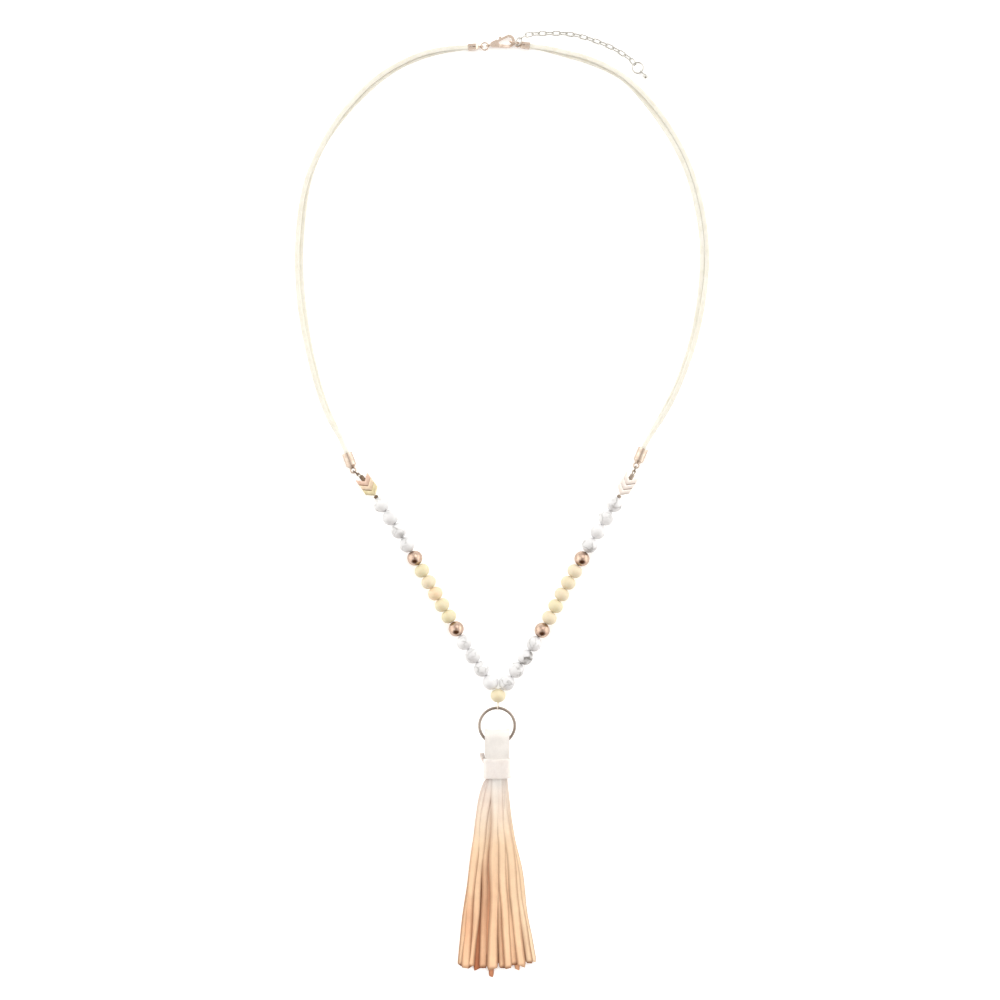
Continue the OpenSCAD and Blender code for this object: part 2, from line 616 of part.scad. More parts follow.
// The lever with its thumb tab, closed against the hook
module clasp_lever() {
    color(metal_colour)
        at_clasp() at_hinge()
            difference() {
                linear_extrude(lever_t, center = true) {
                    circle(d = lever_w, $fn = 32);
                    translate([0, -lever_w / 2]) square([lever_l, lever_w]);
                    translate([lever_l, 0]) circle(d = lever_w, $fn = 32);
                    translate([lever_l * 0.35, 0]) square([lever_l * 0.2, lever_w * 1.3]);
                }
                cylinder(d = hinge_pin_d + 2 * hinge_gap, h = lever_t + 2, center = true, $fn = 24);
            }
}

// Extender chain: each link turned a quarter against its neighbours
link_pitch = link_l - 2 * link_wire - link_slack;
chain_rest = [for (p = chain_route) [p.x, p.y, mix(chain_z, first_link_z, p.z)]];
chain_hook = hook_wire(first_link_z);
chain_path =
    concat([chain_hook - unit(chain_rest[0] - chain_hook) * (ring_wire / 2 + link_gap)], chain_rest);
function link_start(i) = along(chain_path, i * link_pitch);
function link_roll(i) = i % 2 * 90 + 45 * min(1, i / 3);
function stadium(l, w) =
    concat([for (a = [-90 : 36 : 90]) [l / 2 - w / 2 + w / 2 * cos(a), w / 2 * sin(a), 0]],
        [for (a = [90 : 36 : 270]) [w / 2 - l / 2 + w / 2 * cos(a), w / 2 * sin(a), 0]]);
link_line = stadium(link_l - link_wire, link_w - link_wire);
wire_sides = 6;
function link_points(i) =
    let (a = link_start(i), b = link_start(i + 1), x = unit(b - a), level = unit(cross([0, 0, 1], x)),
        rise = cross(x, level), y = cos(link_roll(i)) * level + sin(link_roll(i)) * rise, z = cross(x, y),
        n = len(link_line))
    [for (k = [0 : n - 1])
        let (t = unit(link_line[(k + 1) % n] - link_line[(k + n - 1) % n]), out = cross(t, [0, 0, 1]))
        for (q = round_section(link_wire / 2, wire_sides))
            let (p = link_line[k] + q.x * out + [0, 0, q.y])
            (a + b) / 2 + p.x * x + p.y * y + p.z * z];
function loop_faces(rings, sides, first) =
    [for (i = [0 : rings - 1], j = [0 : sides - 1])
        let (a = first + i * sides + j, b = first + i * sides + (j + 1) % sides,
            c = first + (i + 1) % rings * sides + (j + 1) % sides, d = first + (i + 1) % rings * sides + j)
        each [[a, d, c], [a, c, b]]];

module extender_chain() {
    color(steel_colour)
        polyhedron([for (i = [0 : link_count - 1]) each link_points(i)],
            [for (i = [0 : link_count - 1])
                each loop_faces(len(link_line), wire_sides, i * len(link_line) * wire_sides)]);
}

chain_end = link_start(link_count);
chain_dir = unit(chain_end - link_start(link_count - 1));
end_ring_r = (end_ring_d - end_ring_wire) / 2;
end_ring_at = chain_end + chain_dir * (end_ring_r - end_ring_wire / 2 - link_slack / 2);
drop_dir = [cos(drop_turn), sin(drop_turn), 0];
drop_loop_at =
    end_ring_at + drop_dir * (end_ring_r + drop_loop_d / 2 - drop_wire - end_ring_wire / 2 - link_gap);

module end_ring() {
    color(steel_colour) translate(end_ring_at) wire_ring(end_ring_d, end_ring_wire);
}

module end_drop() {
    color(steel_colour)
        translate(drop_loop_at)
            rotate([0, 0, drop_turn]) {
                rotate([90, 0, 0]) wire_ring(drop_loop_d, drop_wire);
                translate([drop_loop_d / 2 - drop_wire / 2, 0, 0])
                    rotate([0, 90, 0])
                        rotate_extrude($fn = 32)
                            intersection() {
                                union() {
                                    polygon([[0, 0], [drop_wire / 2, 0],
                                        [drop_d / 2 * 0.94, drop_l - drop_d / 2 * 1.3],
                                        [0, drop_l - drop_d / 2]]);
                                    translate([0, drop_l - drop_d / 2]) circle(d = drop_d, $fn = 32);
                                }
                                square([drop_d, drop_l]);
                            }
            }
}

module tassel_ring() {
    color(metal_colour) translate(ring_at) rotate([-ring_lean, 0, 0]) wire_ring(ring_d, ring_wire_d);
}

// One section of the head: a slab across the tassel with round sides, ends is how round they are
module head_slab(y, w, t, ends) {
    r = t / 2;
    translate([ring_at.x, y, neck_z])
        rotate([90, 0, 0])
            linear_extrude(slab_t, center = true)
                hull()
                    for (s = [-1, 1])
                        translate([s * (w / 2 - r * ends), 0]) scale([ends, 1]) circle(r = r, $fn = 16);
}

module shoulder_slab() {
    head_slab(tie_y + shoulder, head_w - slab_t, head_t - 3 * slab_t, 0.6);
}

module neck_slab(y) {
    head_slab(y, neck_w, neck_t, 1);
}

// The folded strips over the ring, down to the neck and the heart under the hanging strips
module head() {
    hull() {
        for (round_in = [0, 1])
            translate([ring_at.x, fold_y - head_t / 2, neck_z])
                rotate([0, 90, 0])
                    cylinder(d = head_t - (1 - round_in), h = head_w - round_in, center = true, $fn = 20);
        shoulder_slab();
    }
    hull() {
        shoulder_slab();
        neck_slab(tie_y + 2 * slab_t);
    }
    hull() {
        neck_slab(tie_y + 2 * slab_t);
        neck_slab(neck_y - strip_start - slab_t);
    }
    for (k = [0 : len(HEART) - 2]) hull() for (j = [k, k + 1]) heart_slab(HEART[j]);
}

function heart_z(row) = mix(row[2] * neck_t / 2, neck_z, pow(max(0, 1 - row[0] / 0.79), 1.8));

module heart_slab(row) {
    translate([ring_at.x, neck_y - row[0] * strip_l, heart_z(row)])
        cube([row[1] * neck_w, slab_t, row[2] * neck_t], center = true);
}

// A strip leaves the neck just under the tie and runs out to its tip on the surface
function strip_point(row, t) =
    [mix(ring_at.x + row[0] * (neck_w - strip_w) / 2, ring_at.x + row[1] * strip_spread, pow(t, row[3])),
    neck_y - mix(strip_start, strip_l * row[2], t),
    mix(strip_t / 2 + row[5] * strip_t * 0.9,
        neck_z + (row[4] - 0.5) * (neck_t - strip_t), pow(1 - t, 1.8))];
function strip_share(k) = pow(k / (strip_sections - 1), 1.3);

strip_section = [[strip_w / 2, -strip_t / 2], [strip_w / 2, strip_t / 2], [-strip_w / 2, strip_t / 2],
    [-strip_w / 2, -strip_t / 2]];

module strip(row) {
    start = strip_point(row, 0);
    swept(concat([start + [0, strip_root, 0]],
        [for (k = [0 : strip_sections - 1]) strip_point(row, strip_share(k))]), strip_section);
}

module tassel() {
    color(tassel_colour)
        difference() {
            union() {
                head();
                for (row = STRIPS) strip(row);
            }
            translate(ring_at) rotate([-ring_lean, 0, 0])
                rotate_extrude($fn = 48)
                    translate([ring_r, 0]) circle(d = ring_wire_d + 2 * head_gap, $fn = 12);
        }
}

module tie_outline(w, t) {
    for (s = [-1, 1]) translate([s * (w - t) / 2, 0]) circle(d = t, $fn = 48);
    square([w - t, t], center = true);
}

module neck_tie() {
    color(lace_colour)
        translate([ring_at.x, neck_y, neck_z])
            rotate([90, 0, 0]) {
                translate([0, 0, -tie_l])
                    linear_extrude(tie_l)
                        difference() {
                            tie_outline(tie_w, tie_t);
                            tie_outline(tie_w - 2 * tie_wall, tie_t - 2 * tie_wall);
                        }
                translate([-tie_w / 2 - tie_wall, -tab_w / 2, -tie_l - tab_rise])
                    cube([tab_t, tab_w, tab_l]);
            }
}

centre_bead();
for (side = SIDES) for (i = BEADS) string_piece(side, i);
thread();
crimps("left");  // crimps_left
crimps("right");  // crimps_right
end_cap("left");  // end_cap_left
end_cap("right");  // end_cap_right
cap_ring("left");  // cap_ring_left
cap_ring("right");  // cap_ring_right
lace("left", "outer");  // lace_left_outer
lace("left", "inner");  // lace_left_inner
lace("right", "outer");  // lace_right_outer
lace("right", "inner");  // lace_right_inner
cord_end("left");  // cord_end_left
cord_end("right");  // cord_end_right
clasp_ring();
clasp_body();
clasp_lever();
hook_ring();
extender_chain();
end_ring();
end_drop();
tassel_ring();
tassel();
neck_tie();
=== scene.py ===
"""Tassel necklace lying flat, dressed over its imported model: suede laces, beaded strings and a suede tassel.

Sizes are in millimetres, as in the part's source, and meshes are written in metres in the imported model's frame.
"""

from __future__ import annotations

import logging
import math
from collections.abc import Sequence
from dataclasses import dataclass, field
from enum import Enum
from typing import Any

import bmesh
import bpy
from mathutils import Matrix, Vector, noise


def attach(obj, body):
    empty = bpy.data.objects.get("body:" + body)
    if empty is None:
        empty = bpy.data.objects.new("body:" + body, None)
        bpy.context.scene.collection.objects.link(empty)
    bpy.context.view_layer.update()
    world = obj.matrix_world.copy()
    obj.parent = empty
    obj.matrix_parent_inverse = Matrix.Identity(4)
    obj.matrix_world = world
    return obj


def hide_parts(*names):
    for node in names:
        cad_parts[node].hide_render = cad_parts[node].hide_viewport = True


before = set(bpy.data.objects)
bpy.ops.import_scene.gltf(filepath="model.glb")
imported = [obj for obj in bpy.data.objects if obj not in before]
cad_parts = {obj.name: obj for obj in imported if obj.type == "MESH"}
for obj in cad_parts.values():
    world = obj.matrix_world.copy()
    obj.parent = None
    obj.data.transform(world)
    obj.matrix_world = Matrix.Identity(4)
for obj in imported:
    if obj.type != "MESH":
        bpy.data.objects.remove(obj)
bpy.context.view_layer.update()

log = logging.getLogger("necklace")
MM = 0.001
# The angle in degrees past which an edge of a bead, a link or a strip stays sharp
CREASE = 60
UP = Vector((0, 0, 1))
Point = tuple[float, ...]


class Side(Enum):
    """The two sides of the necklace, with the sign that turns a lace's outer place to its left."""

    LEFT = ("left", 1)
    RIGHT = ("right", -1)


class Place(Enum):
    """The two laces of a pair."""

    OUTER = ("outer", 1)
    INNER = ("inner", -1)


def linear(colour: str) -> tuple[float, float, float, float]:
    """Turn an sRGB hex colour to linear.

    Args:
        colour: the colour, such as "#f4ecdf".

    Returns:
        Red, green, blue and alpha.
    """
    parts = [int(colour[i : i + 2], 16) / 255 for i in (1, 3, 5)]
    return (*[c / 12.92 if c <= 0.04045 else ((c + 0.055) / 1.055) ** 2.4 for c in parts], 1.0)


def add(tree: bpy.types.NodeTree, kind: str, settings: dict | None = None, links: dict | None = None) -> Any:
    """Add a node with its settings and links.

    Args:
        tree: the tree that gets the node.
        kind: the node's type, without ShaderNode for a shader's.
        settings: values by the name of a property, or by the name or number of an input. A hex colour is turned
            to linear, "stops" holds a ramp's places and colours, and "span" a range's from and to.
        links: by the name or number of the input that is fed, a socket, or a node for its first live output.

    Returns:
        The new node.
    """
    made = tree.nodes.new(kind if kind.startswith(("Geometry", "Function", "Node")) else f"ShaderNode{kind}")
    for name, value in (settings or {}).items():
        if name == "stops":
            ramp = made.color_ramp.elements
            while len(ramp) < len(value):
                ramp.new(0.5)
            for stop, (place, colour) in zip(ramp, value):
                stop.position, stop.color = place, linear(colour)
        elif name == "span":
            for end, number in zip(("From Min", "From Max", "To Min", "To Max"), value):
                made.inputs[end].default_value = number
        elif isinstance(name, str) and hasattr(made, name):
            setattr(made, name, value)
        else:
            made.inputs[name].default_value = linear(value) if str(value).startswith("#") else value
    for name, source in (links or {}).items():
        if isinstance(source, bpy.types.Node):
            source = next(socket for socket in source.outputs if socket.enabled)
        tree.links.new(source, made.inputs[name])
    return made


def put(name: str, data: bpy.types.ID) -> bpy.types.Object:
    """Make an object and put it in the scene.

    Args:
        name: the object's name.
        data: its mesh, camera or light.

    Returns:
        The object.
    """
    made = bpy.data.objects.new(name, data)
    bpy.context.scene.collection.objects.link(made)
    return made


def unit(v: Vector) -> Vector:
    """Return v at length one."""
    return v.normalized()


def mix(a: Any, b: Any, t: float) -> Any:
    """Return the point or number a share t of the way from a to b."""
    return a + (b - a) * t


def clamp(v: float, low: float = 0.0) -> float:
    """Return v held between low and one."""
    return max(low, min(1.0, v))


def flat(p: Sequence[float], z: float) -> Vector:
    """Return p at the height z."""
    return Vector((p[0], p[1], z))


def along(path: Sequence[Vector], s: float) -> Vector:
    """Find the point at a length along a path, which runs straight on past its end.

    Args:
        path: the path's corners, two or more.
        s: the length from its start.

    Returns:
        The point.
    """
    for a, b in zip(path, path[1:]):
        leg = (b - a).length
        if s <= leg or b is path[-1]:
            break
        s -= leg
    return a + unit(b - a) * s


def heading(path: Sequence[Vector], i: int) -> Vector:
    """Return the direction of a path at its corner i."""
    return unit(path[min(i + 1, len(path) - 1)] - path[max(i - 1, 0)])


def smooth(rows: Sequence[Point]) -> list[Point]:
    """Halve each step of a list of rows along a smooth curve.

    Args:
        rows: equal rows of numbers.

    Returns:
        The rows with a new one between each two.
    """
    last = len(rows) - 1
    out = []
    for i in range(last):
        ends = zip(rows[max(i - 1, 0)], rows[i], rows[i + 1], rows[min(i + 2, last)])
        out += [rows[i], tuple((9 * (b + c) - a - d) / 16 for a, b, c, d in ends)]
    return [*out, rows[last]]


def wander(seed: float, t: float) -> float:
    """Return a smooth number from about -1 to 1 for a place t along the piece that seed stands for."""
    return 2 * noise.noise(Vector((seed * 7.31, t, seed * 1.7)))


def rounded_section(w: float, t: float, r: float, steps: int = 3, flats: int = 3) -> list[Point]:
    """Draw a flat strip's section with round corners.

    Args:
        w: its width.
        t: its thickness.
        r: the corners' radius.
        steps: the steps of each corner.
        flats: the steps of each broad side.

    Returns:
        Its points, anticlockwise.
    """
    out: list[Point] = []
    for k, (sx, sy) in enumerate(((1, -1), (1, 1), (-1, 1), (-1, -1))):
        for i in range(steps + 1):
            a = math.radians(-90 + 90 * k + 90 * i / steps)
            out.append((sx * (w / 2 - r) + r * math.cos(a), sy * (t / 2 - r) + r * math.sin(a)))
        if k in (1, 3):
            a, b = out[-1], (-out[-1][0], out[-1][1])
            out += [(mix(a[0], b[0], j / flats), a[1]) for j in range(1, flats)]
    return out


def oval_section(w: float, t: float, sides: int, power: float = 1.0) -> list[Point]:
    """Draw a round or oval section.

    Args:
        w: its width.
        t: its thickness.
        sides: the number of its points.
        power: below one, its faces are flattened.

    Returns:
        Its points, anticlockwise.
    """
    turns = [(math.cos(math.tau * j / sides), math.sin(math.tau * j / sides)) for j in range(sides)]
    return [(math.copysign(abs(c) ** power, c) * w / 2, math.copysign(abs(s) ** power, s) * t / 2)
            for c, s in turns]


def rims(section: Sequence[Point], start: float, most: float) -> list[float]:
    """Find how much of the cut edge colour goes on each point of a strip's section; on the tassel it also paints
    shade between strips.

    Args:
        section: its points.
        start: where the edge begins, as a share of the way from the middle to the side.
        most: how much the side itself shows.

    Returns:
        A number for each point.
    """
    side = max(q[0] for q in section)
    return [most * clamp((abs(q[0]) / side - start) / (1 - start)) for q in section]


def sweep(path: Sequence[Vector], section: Sequence[Point], across: Vector = UP, rolls: Sequence[float] = (),
          sizes: Sequence[Point] = ()) -> list[list[Vector]]:
    """Carry a section along a path.

    Args:
        path: the section's centres.
        section: its points, the first number level and the second upright.
        across: the direction that the section's first axis is square to.
        rolls: the section's turn at each centre, in radians.
        sizes: its share of its width and thickness at each centre.

    Returns:
        A ring of points at each centre.
    """
    rings = []
    for i, p in enumerate(path):
        t = heading(path, i)
        level = unit(across.cross(t))
        rise = t.cross(level)
        roll = rolls[i] if rolls else 0.0
        sx, sy = sizes[i] if sizes else (1.0, 1.0)
        c, s = math.cos(roll), math.sin(roll)
        rings.append([p + (q[0] * sx * c - q[1] * sy * s) * level + (q[0] * sx * s + q[1] * sy * c) * rise
                      for q in section])
    return rings


@dataclass
class Shape:
    """Points and faces gathered for one piece, with the numbers that its finish reads at each point."""

    points: list[Vector] = field(default_factory=list)
    faces: list[tuple[int, ...]] = field(default_factory=list)
    marks: dict[str, list[float]] = field(default_factory=dict)

    def skin(self, rings: Sequence[Sequence[Vector]],
             marks: dict[str, Sequence[Sequence[float]]] | None = None) -> Shape:
        """Cover rings of points with faces and close the ends.

        Args:
            rings: rings with as many points each.
            marks: a number for each point of each ring, by the name of its attribute.

        Returns:
            This shape.
        """
        first, n = len(self.points), len(rings[0])
        self.points += [p for ring in rings for p in ring]
        last = len(self.points) - n
        for name, rows in (marks or {}).items():
            self.marks.setdefault(name, [0.0] * first)
            self.marks[name] += [v for row in rows for v in row]
        for start in range(first, last, n):
            pairs = ((start + j, start + (j + 1) % n) for j in range(n))
            self.faces += [(a, a + n, b + n, b) for a, b in pairs]
        self.faces += [tuple(range(first, first + n)), tuple(reversed(range(last, last + n)))]
        return self

    def piece(self, name: str, finish: Finish, crease: float = 180) -> bpy.types.Object:
        """Make the gathered points and faces one object.

        Args:
            name: the piece's name.
            finish: its finish.
            crease: the angle in degrees past which an edge stays sharp.

        Returns:
            The object, in the scene.
        """
        mesh = bpy.data.meshes.new(name)
        mesh.from_pydata([p * MM for p in self.points], [], self.faces)
        for key, values in self.marks.items():
            mesh.attributes.new(key, "FLOAT", "POINT").data.foreach_set("value", values)
        return settle(name, mesh, finish, crease)


def settle(name: str, mesh: bpy.types.Mesh, finish: Finish, crease: float = 180) -> bpy.types.Object:
    """Turn a mesh's faces outwards, shade and dress it, and put it in the scene.

    Args:
        name: the piece's name.
        mesh: its mesh, in metres.
        finish: its finish.
        crease: the angle in degrees past which an edge stays sharp.

    Returns:
        The object.
    """
    work = bmesh.new()
    work.from_mesh(mesh)
    bmesh.ops.recalc_face_normals(work, faces=work.faces)
    for edge in work.edges:
        edge.smooth = edge.calc_face_angle(0) < math.radians(crease)
    for face in work.faces:
        face.smooth = True
    work.to_mesh(mesh)
    work.free()
    mesh.materials.clear()
    mesh.materials.append(finish.material())
    return put(name, mesh)


def rest(made: bpy.types.Object, finish: Finish, *nodes: str) -> None:
    """Ride a finished piece on the necklace in place of CAD nodes.

    Args:
        made: the piece.
        finish: not used.
        nodes: the CAD nodes that it stands for.
    """
    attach(made, "necklace")
    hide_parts(*nodes)
    log.info("%s: %d faces", made.name, len(made.data.polygons))


def dress(finish: Finish, *nodes: str) -> None:
    """Give CAD nodes a finish.

    Args:
        finish: the finish.
        nodes: the nodes' names.
    """
    for name in nodes:
        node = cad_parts[name]
        if not node.material_slots:
            node.data.materials.append(None)
        for slot in node.material_slots:
            slot.material = finish.material()
        log.info("%s: dressed as %s", name, finish.name)


def plain_mesh(made: bpy.types.Object) -> bpy.types.Mesh:
    """Keep an object's shape with its modifiers as a plain mesh, and remove the object.

    Args:
        made: the object.

    Returns:
        The new mesh.
    """
    graph = bpy.context.evaluated_depsgraph_get()
    graph.update()
    mesh = bpy.data.meshes.new_from_object(made.evaluated_get(graph), depsgraph=graph)
    made.modifiers.clear()
    bpy.data.objects.remove(made)
    return mesh


def evaluated(made: bpy.types.Object, tree: bpy.types.NodeTree, values: dict[str, Any]) -> bpy.types.Mesh:
    """Run a geometry tree on an object and keep the result as a plain mesh.

    Args:
        made: the object that carries the tree's points.
        tree: the tree.
        values: the tree's inputs by name.

    Returns:
        The new mesh.
    """
    modifier = made.modifiers.new(tree.name, "NODES")
    modifier.node_group = tree
    for item in tree.interface.items_tree:
        if item.item_type == "SOCKET" and item.in_out == "INPUT" and item.name in values:
            modifier[item.identifier] = values[item.name]
    return plain_mesh(made)


def geometry_tree(name: str, **inputs: str) -> tuple[bpy.types.NodeTree, Any]:
    """Start a geometry tree.

    Args:
        name: the tree's name.
        inputs: the kind of socket by each input's name, with _ for a space.

    Returns:
        The tree with its input node.
    """
    tree = bpy.data.node_groups.new(name, "GeometryNodeTree")
    tree.interface.new_socket("Geometry", in_out="INPUT", socket_type="NodeSocketGeometry")
    tree.interface.new_socket("Geometry", in_out="OUTPUT", socket_type="NodeSocketGeometry")
    for key, kind in inputs.items():
        tree.interface.new_socket(key.replace("_", " "), in_out="INPUT", socket_type=f"NodeSocket{kind}")
    return tree, add(tree, "NodeGroupInput")


def hang_copies(tree: bpy.types.NodeTree, source: Any, copy: Any, **more: Any) -> bpy.types.NodeTree:
    """End a geometry tree: copies on its points, Z to the heading, X up, then round Z by the roll, dressed.

    Args:
        tree: the tree.
        source: its input node.
        copy: the node or socket of what is copied.
        more: what else feeds the node that sets the copies, by the name of its input.

    Returns:
        The tree.
    """
    ahead = add(tree, "GeometryNodeInputNamedAttribute", {"data_type": "FLOAT_VECTOR", "Name": "heading"})
    roll = add(tree, "GeometryNodeInputNamedAttribute", {"data_type": "FLOAT", "Name": "roll"})
    aim = add(tree, "FunctionNodeAxesToRotation", {"primary_axis": "Z", "secondary_axis": "X", 1: (0, 0, 1)},
              {0: ahead})
    spin = add(tree, "FunctionNodeAxisAngleToRotation", {0: (0, 0, 1)}, {1: roll})
    turn = add(tree, "FunctionNodeRotateRotation", {"rotation_space": "LOCAL"}, {0: aim, 1: spin})
    hung = add(tree, "GeometryNodeInstanceOnPoints", {},
               {"Points": source.outputs["Geometry"], "Instance": copy, "Rotation": turn, **more})
    real = add(tree, "GeometryNodeRealizeInstances", {}, {"Geometry": hung})
    dressed = add(tree, "GeometryNodeSetMaterial", {}, {"Geometry": real, "Material": source.outputs["Finish"]})
    add(tree, "NodeGroupOutput", {}, {0: dressed})
    return tree


def point_cloud(name: str, spots: Sequence[tuple[Vector, Vector]],
                numbers: dict[str, Sequence[float]]) -> bpy.types.Object:
    """Make the loose points that a geometry tree puts copies on.

    Args:
        name: the object's name.
        spots: each point, in millimetres, and its heading.
        numbers: a number for each point, by attribute.

    Returns:
        The object.
    """
    mesh = bpy.data.meshes.new(name)
    mesh.from_pydata([p * MM for p, _ in spots], [], [])
    ahead = [c for _, v in spots for c in v]
    mesh.attributes.new("heading", "FLOAT_VECTOR", "POINT").data.foreach_set("vector", ahead)
    for key, row in numbers.items():
        mesh.attributes.new(key, "FLOAT", "POINT").data.foreach_set("value", list(row))
    return put(name, mesh)


@dataclass(frozen=True)
class Finish:
    """A finish of the necklace, with the name of the record's slot for it, which the script does not use."""

    name: str
    slot: str

    def material(self) -> bpy.types.Material:
        """Find the finish's material, or build it the first time.

        Returns:
            The material.
        """
        made = bpy.data.materials.get(self.name)
        if not made:
            made = bpy.data.materials.new(self.name)
            made.use_nodes = True
            made.node_tree.nodes.clear()
            add(made.node_tree, "OutputMaterial", {}, {"Surface": self.shade(made.node_tree)})
        return made

    def shade(self, tree: bpy.types.NodeTree) -> Any:
        """Return the shader node that this finish builds in the tree."""
        raise NotImplementedError


@dataclass(frozen=True)
class PolishedHowlite(Finish):
    """Howlite: a chalk-white stone with fine grey webs, tumbled and polished to a soft wet gloss."""

    name: str = "polished_howlite"
    slot: str = "howlite"
    chalk: str = "#e4e4e5"
    cloud: str = "#d3d2d4"
    web: str = "#76736f"
    web_mm: float = 5.0

    def shade(self, tree: bpy.types.NodeTree) -> Any:
        """Build chalk with cloudy patches and broken webs, stronger on beads with more veining.

        Args:
            tree: the material's tree.

        Returns:
            The shader node.
        """
        place = add(tree, "TexCoord").outputs["Object"]
        veining = add(tree, "Attribute", {"attribute_name": "veining"}).outputs["Fac"]
        # Webs bend over about 2 mm, so the cells between them lose their straight sides
        bend = add(tree, "TexNoise", {"Scale": 420.0, "Detail": 3.0}, {"Vector": place})
        moved = add(tree, "VectorMath", {"operation": "SCALE", "Scale": 0.0030}, {0: bend.outputs["Color"]})
        warped = add(tree, "VectorMath", {"operation": "ADD"}, {0: place, 1: moved})
        cells = add(tree, "TexVoronoi", {"feature": "DISTANCE_TO_EDGE", "Scale": 1000 / self.web_mm},
                    {"Vector": warped})
        line = add(tree, "MapRange", {"span": (0.0, 0.10, 1.0, 0.0)}, {"Value": cells})
        patch = add(tree, "TexNoise", {"Scale": 190.0, "Detail": 2.0}, {"Vector": place})
        kept = add(tree, "MapRange", {"span": (0.42, 0.66)}, {"Value": patch})
        broken = add(tree, "Math", {"operation": "MULTIPLY"}, {0: line, 1: kept})
        stain = add(tree, "MapRange", {"span": (0.52, 0.68, 0.0, 0.9)}, {"Value": patch})
        heavy = add(tree, "Math", {"operation": "MULTIPLY_ADD"}, {0: stain, 1: veining, 2: broken})
        share = add(tree, "MapRange", {"span": (0.0, 1.0, 0.30, 1.0)}, {"Value": veining})
        webbing = add(tree, "Math", {"operation": "MULTIPLY", "use_clamp": True}, {0: heavy, 1: share})
        mist = add(tree, "TexNoise", {"Scale": 110.0, "Detail": 2.0}, {"Vector": place})
        body = add(tree, "ValToRGB", {"stops": ((0.40, self.chalk), (0.75, self.cloud))}, {"Fac": mist})
        tint = add(tree, "Mix", {"data_type": "RGBA", 7: self.web}, {0: webbing, 6: body})
        # Polish dips a little along the softer webs
        dip = add(tree, "Bump", {"Strength": 0.25, "Distance": 0.00008, "invert": True}, {"Height": webbing})
        return add(tree, "BsdfPrincipled",
                   {"Roughness": 0.3, "IOR": 1.59, "Subsurface Weight": 0.12, "Subsurface Scale": 0.0006,
                    "Subsurface Radius": (1.0, 0.95, 0.9)}, {"Base Color": tint, "Normal": dip})


@dataclass(frozen=True)
class TurnedMaple(Finish):
    """Bleached maple: turned, sanded and lacquered thin, so pale straight grain shows under a satin skin."""

    name: str = "turned_maple"
    slot: str = "wood"
    pale: str = "#e1d4bb"
    band: str = "#d4c19b"
    pore: str = "#ae9974"
    peach: str = "#eaceaa"
    sap: str = "#dbd3ac"
    grain_mm: float = 0.9

    def shade(self, tree: bpy.types.NodeTree) -> Any:
        """Build grain lines along each bead's hole, read in its own place and moved on from bead to bead.

        Args:
            tree: the material's tree.

        Returns:
            The shader node.
        """
        own = add(tree, "Attribute", {"attribute_name": "own_place"}).outputs["Vector"]
        number = add(tree, "Attribute", {"attribute_name": "number"}).outputs["Fac"]
        shift = add(tree, "CombineXYZ", {}, {0: number, 1: number})
        placed = add(tree, "VectorMath", {"operation": "MULTIPLY_ADD", 1: (0.0137, 0.0291, 0.0)},
                     {0: shift, 2: own})
        # The grain runs with the hole, so the pattern is drawn out eight times that way
        drawn = add(tree, "Mapping", {"Scale": (1.0, 1.0, 0.12)}, {"Vector": placed})
        rings = add(tree, "TexNoise", {"Scale": 1000 / (2.6 * self.grain_mm), "Detail": 4.0, "Distortion": 0.6},
                    {"Vector": drawn})
        wood = add(tree, "ValToRGB", {"stops": ((0.36, self.pale), (0.70, self.band))}, {"Fac": rings})
        # Each bead comes from its own place in the board: peach heartwood, plain, or greenish sapwood
        chance = add(tree, "TexWhiteNoise", {"noise_dimensions": "1D"}, {"W": number})
        cast = add(tree, "ValToRGB", {"stops": ((0.1, self.peach), (0.5, self.pale), (0.9, self.sap))},
                   {"Fac": chance})
        board = add(tree, "Mix", {"data_type": "RGBA", 0: 0.7}, {6: wood, 7: cast})
        pores = add(tree, "TexNoise", {"Scale": 4200.0, "Detail": 2.0}, {"Vector": drawn})
        fleck = add(tree, "MapRange", {"span": (0.62, 0.74, 0.0, 0.55)}, {"Value": pores})
        tint = add(tree, "Mix", {"data_type": "RGBA", 7: self.pore}, {0: fleck, 6: board})
        relief = add(tree, "Bump", {"Strength": 0.2, "Distance": 0.00005}, {"Height": rings})
        return add(tree, "BsdfPrincipled",
                   {"Roughness": 0.42, "IOR": 1.5, "Coat Weight": 0.25, "Coat Roughness": 0.3,
                    "Subsurface Weight": 0.05, "Subsurface Scale": 0.0004},
                   {"Base Color": tint, "Normal": relief})


@dataclass(frozen=True)
class PlatedMetal(Finish):
    """Plated brass: tumbled smooth, then plated, so it mirrors the room with a slight haze and fine wear."""

    name: str = "rose_plated_brass"
    slot: str = "bead_metal"
    plate: str = "#c8b09e"
    worn: str = "#a4887a"
    roughness: float = 0.16
    haze_mm: float = 2.2

    def shade(self, tree: bpy.types.NodeTree) -> Any:
        """Build plate with a faint haze that changes over a couple of millimetres and fine polishing marks.

        Args:
            tree: the material's tree.

        Returns:
            The shader node.
        """
        place = add(tree, "TexCoord").outputs["Object"]
        haze = add(tree, "TexNoise", {"Scale": 1000 / self.haze_mm, "Detail": 3.0}, {"Vector": place})
        tint = add(tree, "ValToRGB", {"stops": ((0.35, self.plate), (0.80, self.worn))}, {"Fac": haze})
        gloss = add(tree, "MapRange", {"span": (0.3, 0.7, 0.7 * self.roughness, 1.4 * self.roughness)},
                    {"Value": haze})
        # Polishing marks are a few microns wide: drawn at 0.15 mm so they show at all
        marks = add(tree, "TexNoise", {"Scale": 6500.0, "Detail": 2.0}, {"Vector": place})
        relief = add(tree, "Bump", {"Strength": 0.06, "Distance": 0.00004}, {"Height": marks})
        return add(tree, "BsdfPrincipled", {"Metallic": 1.0},
                   {"Base Color": tint, "Roughness": gloss, "Normal": relief})


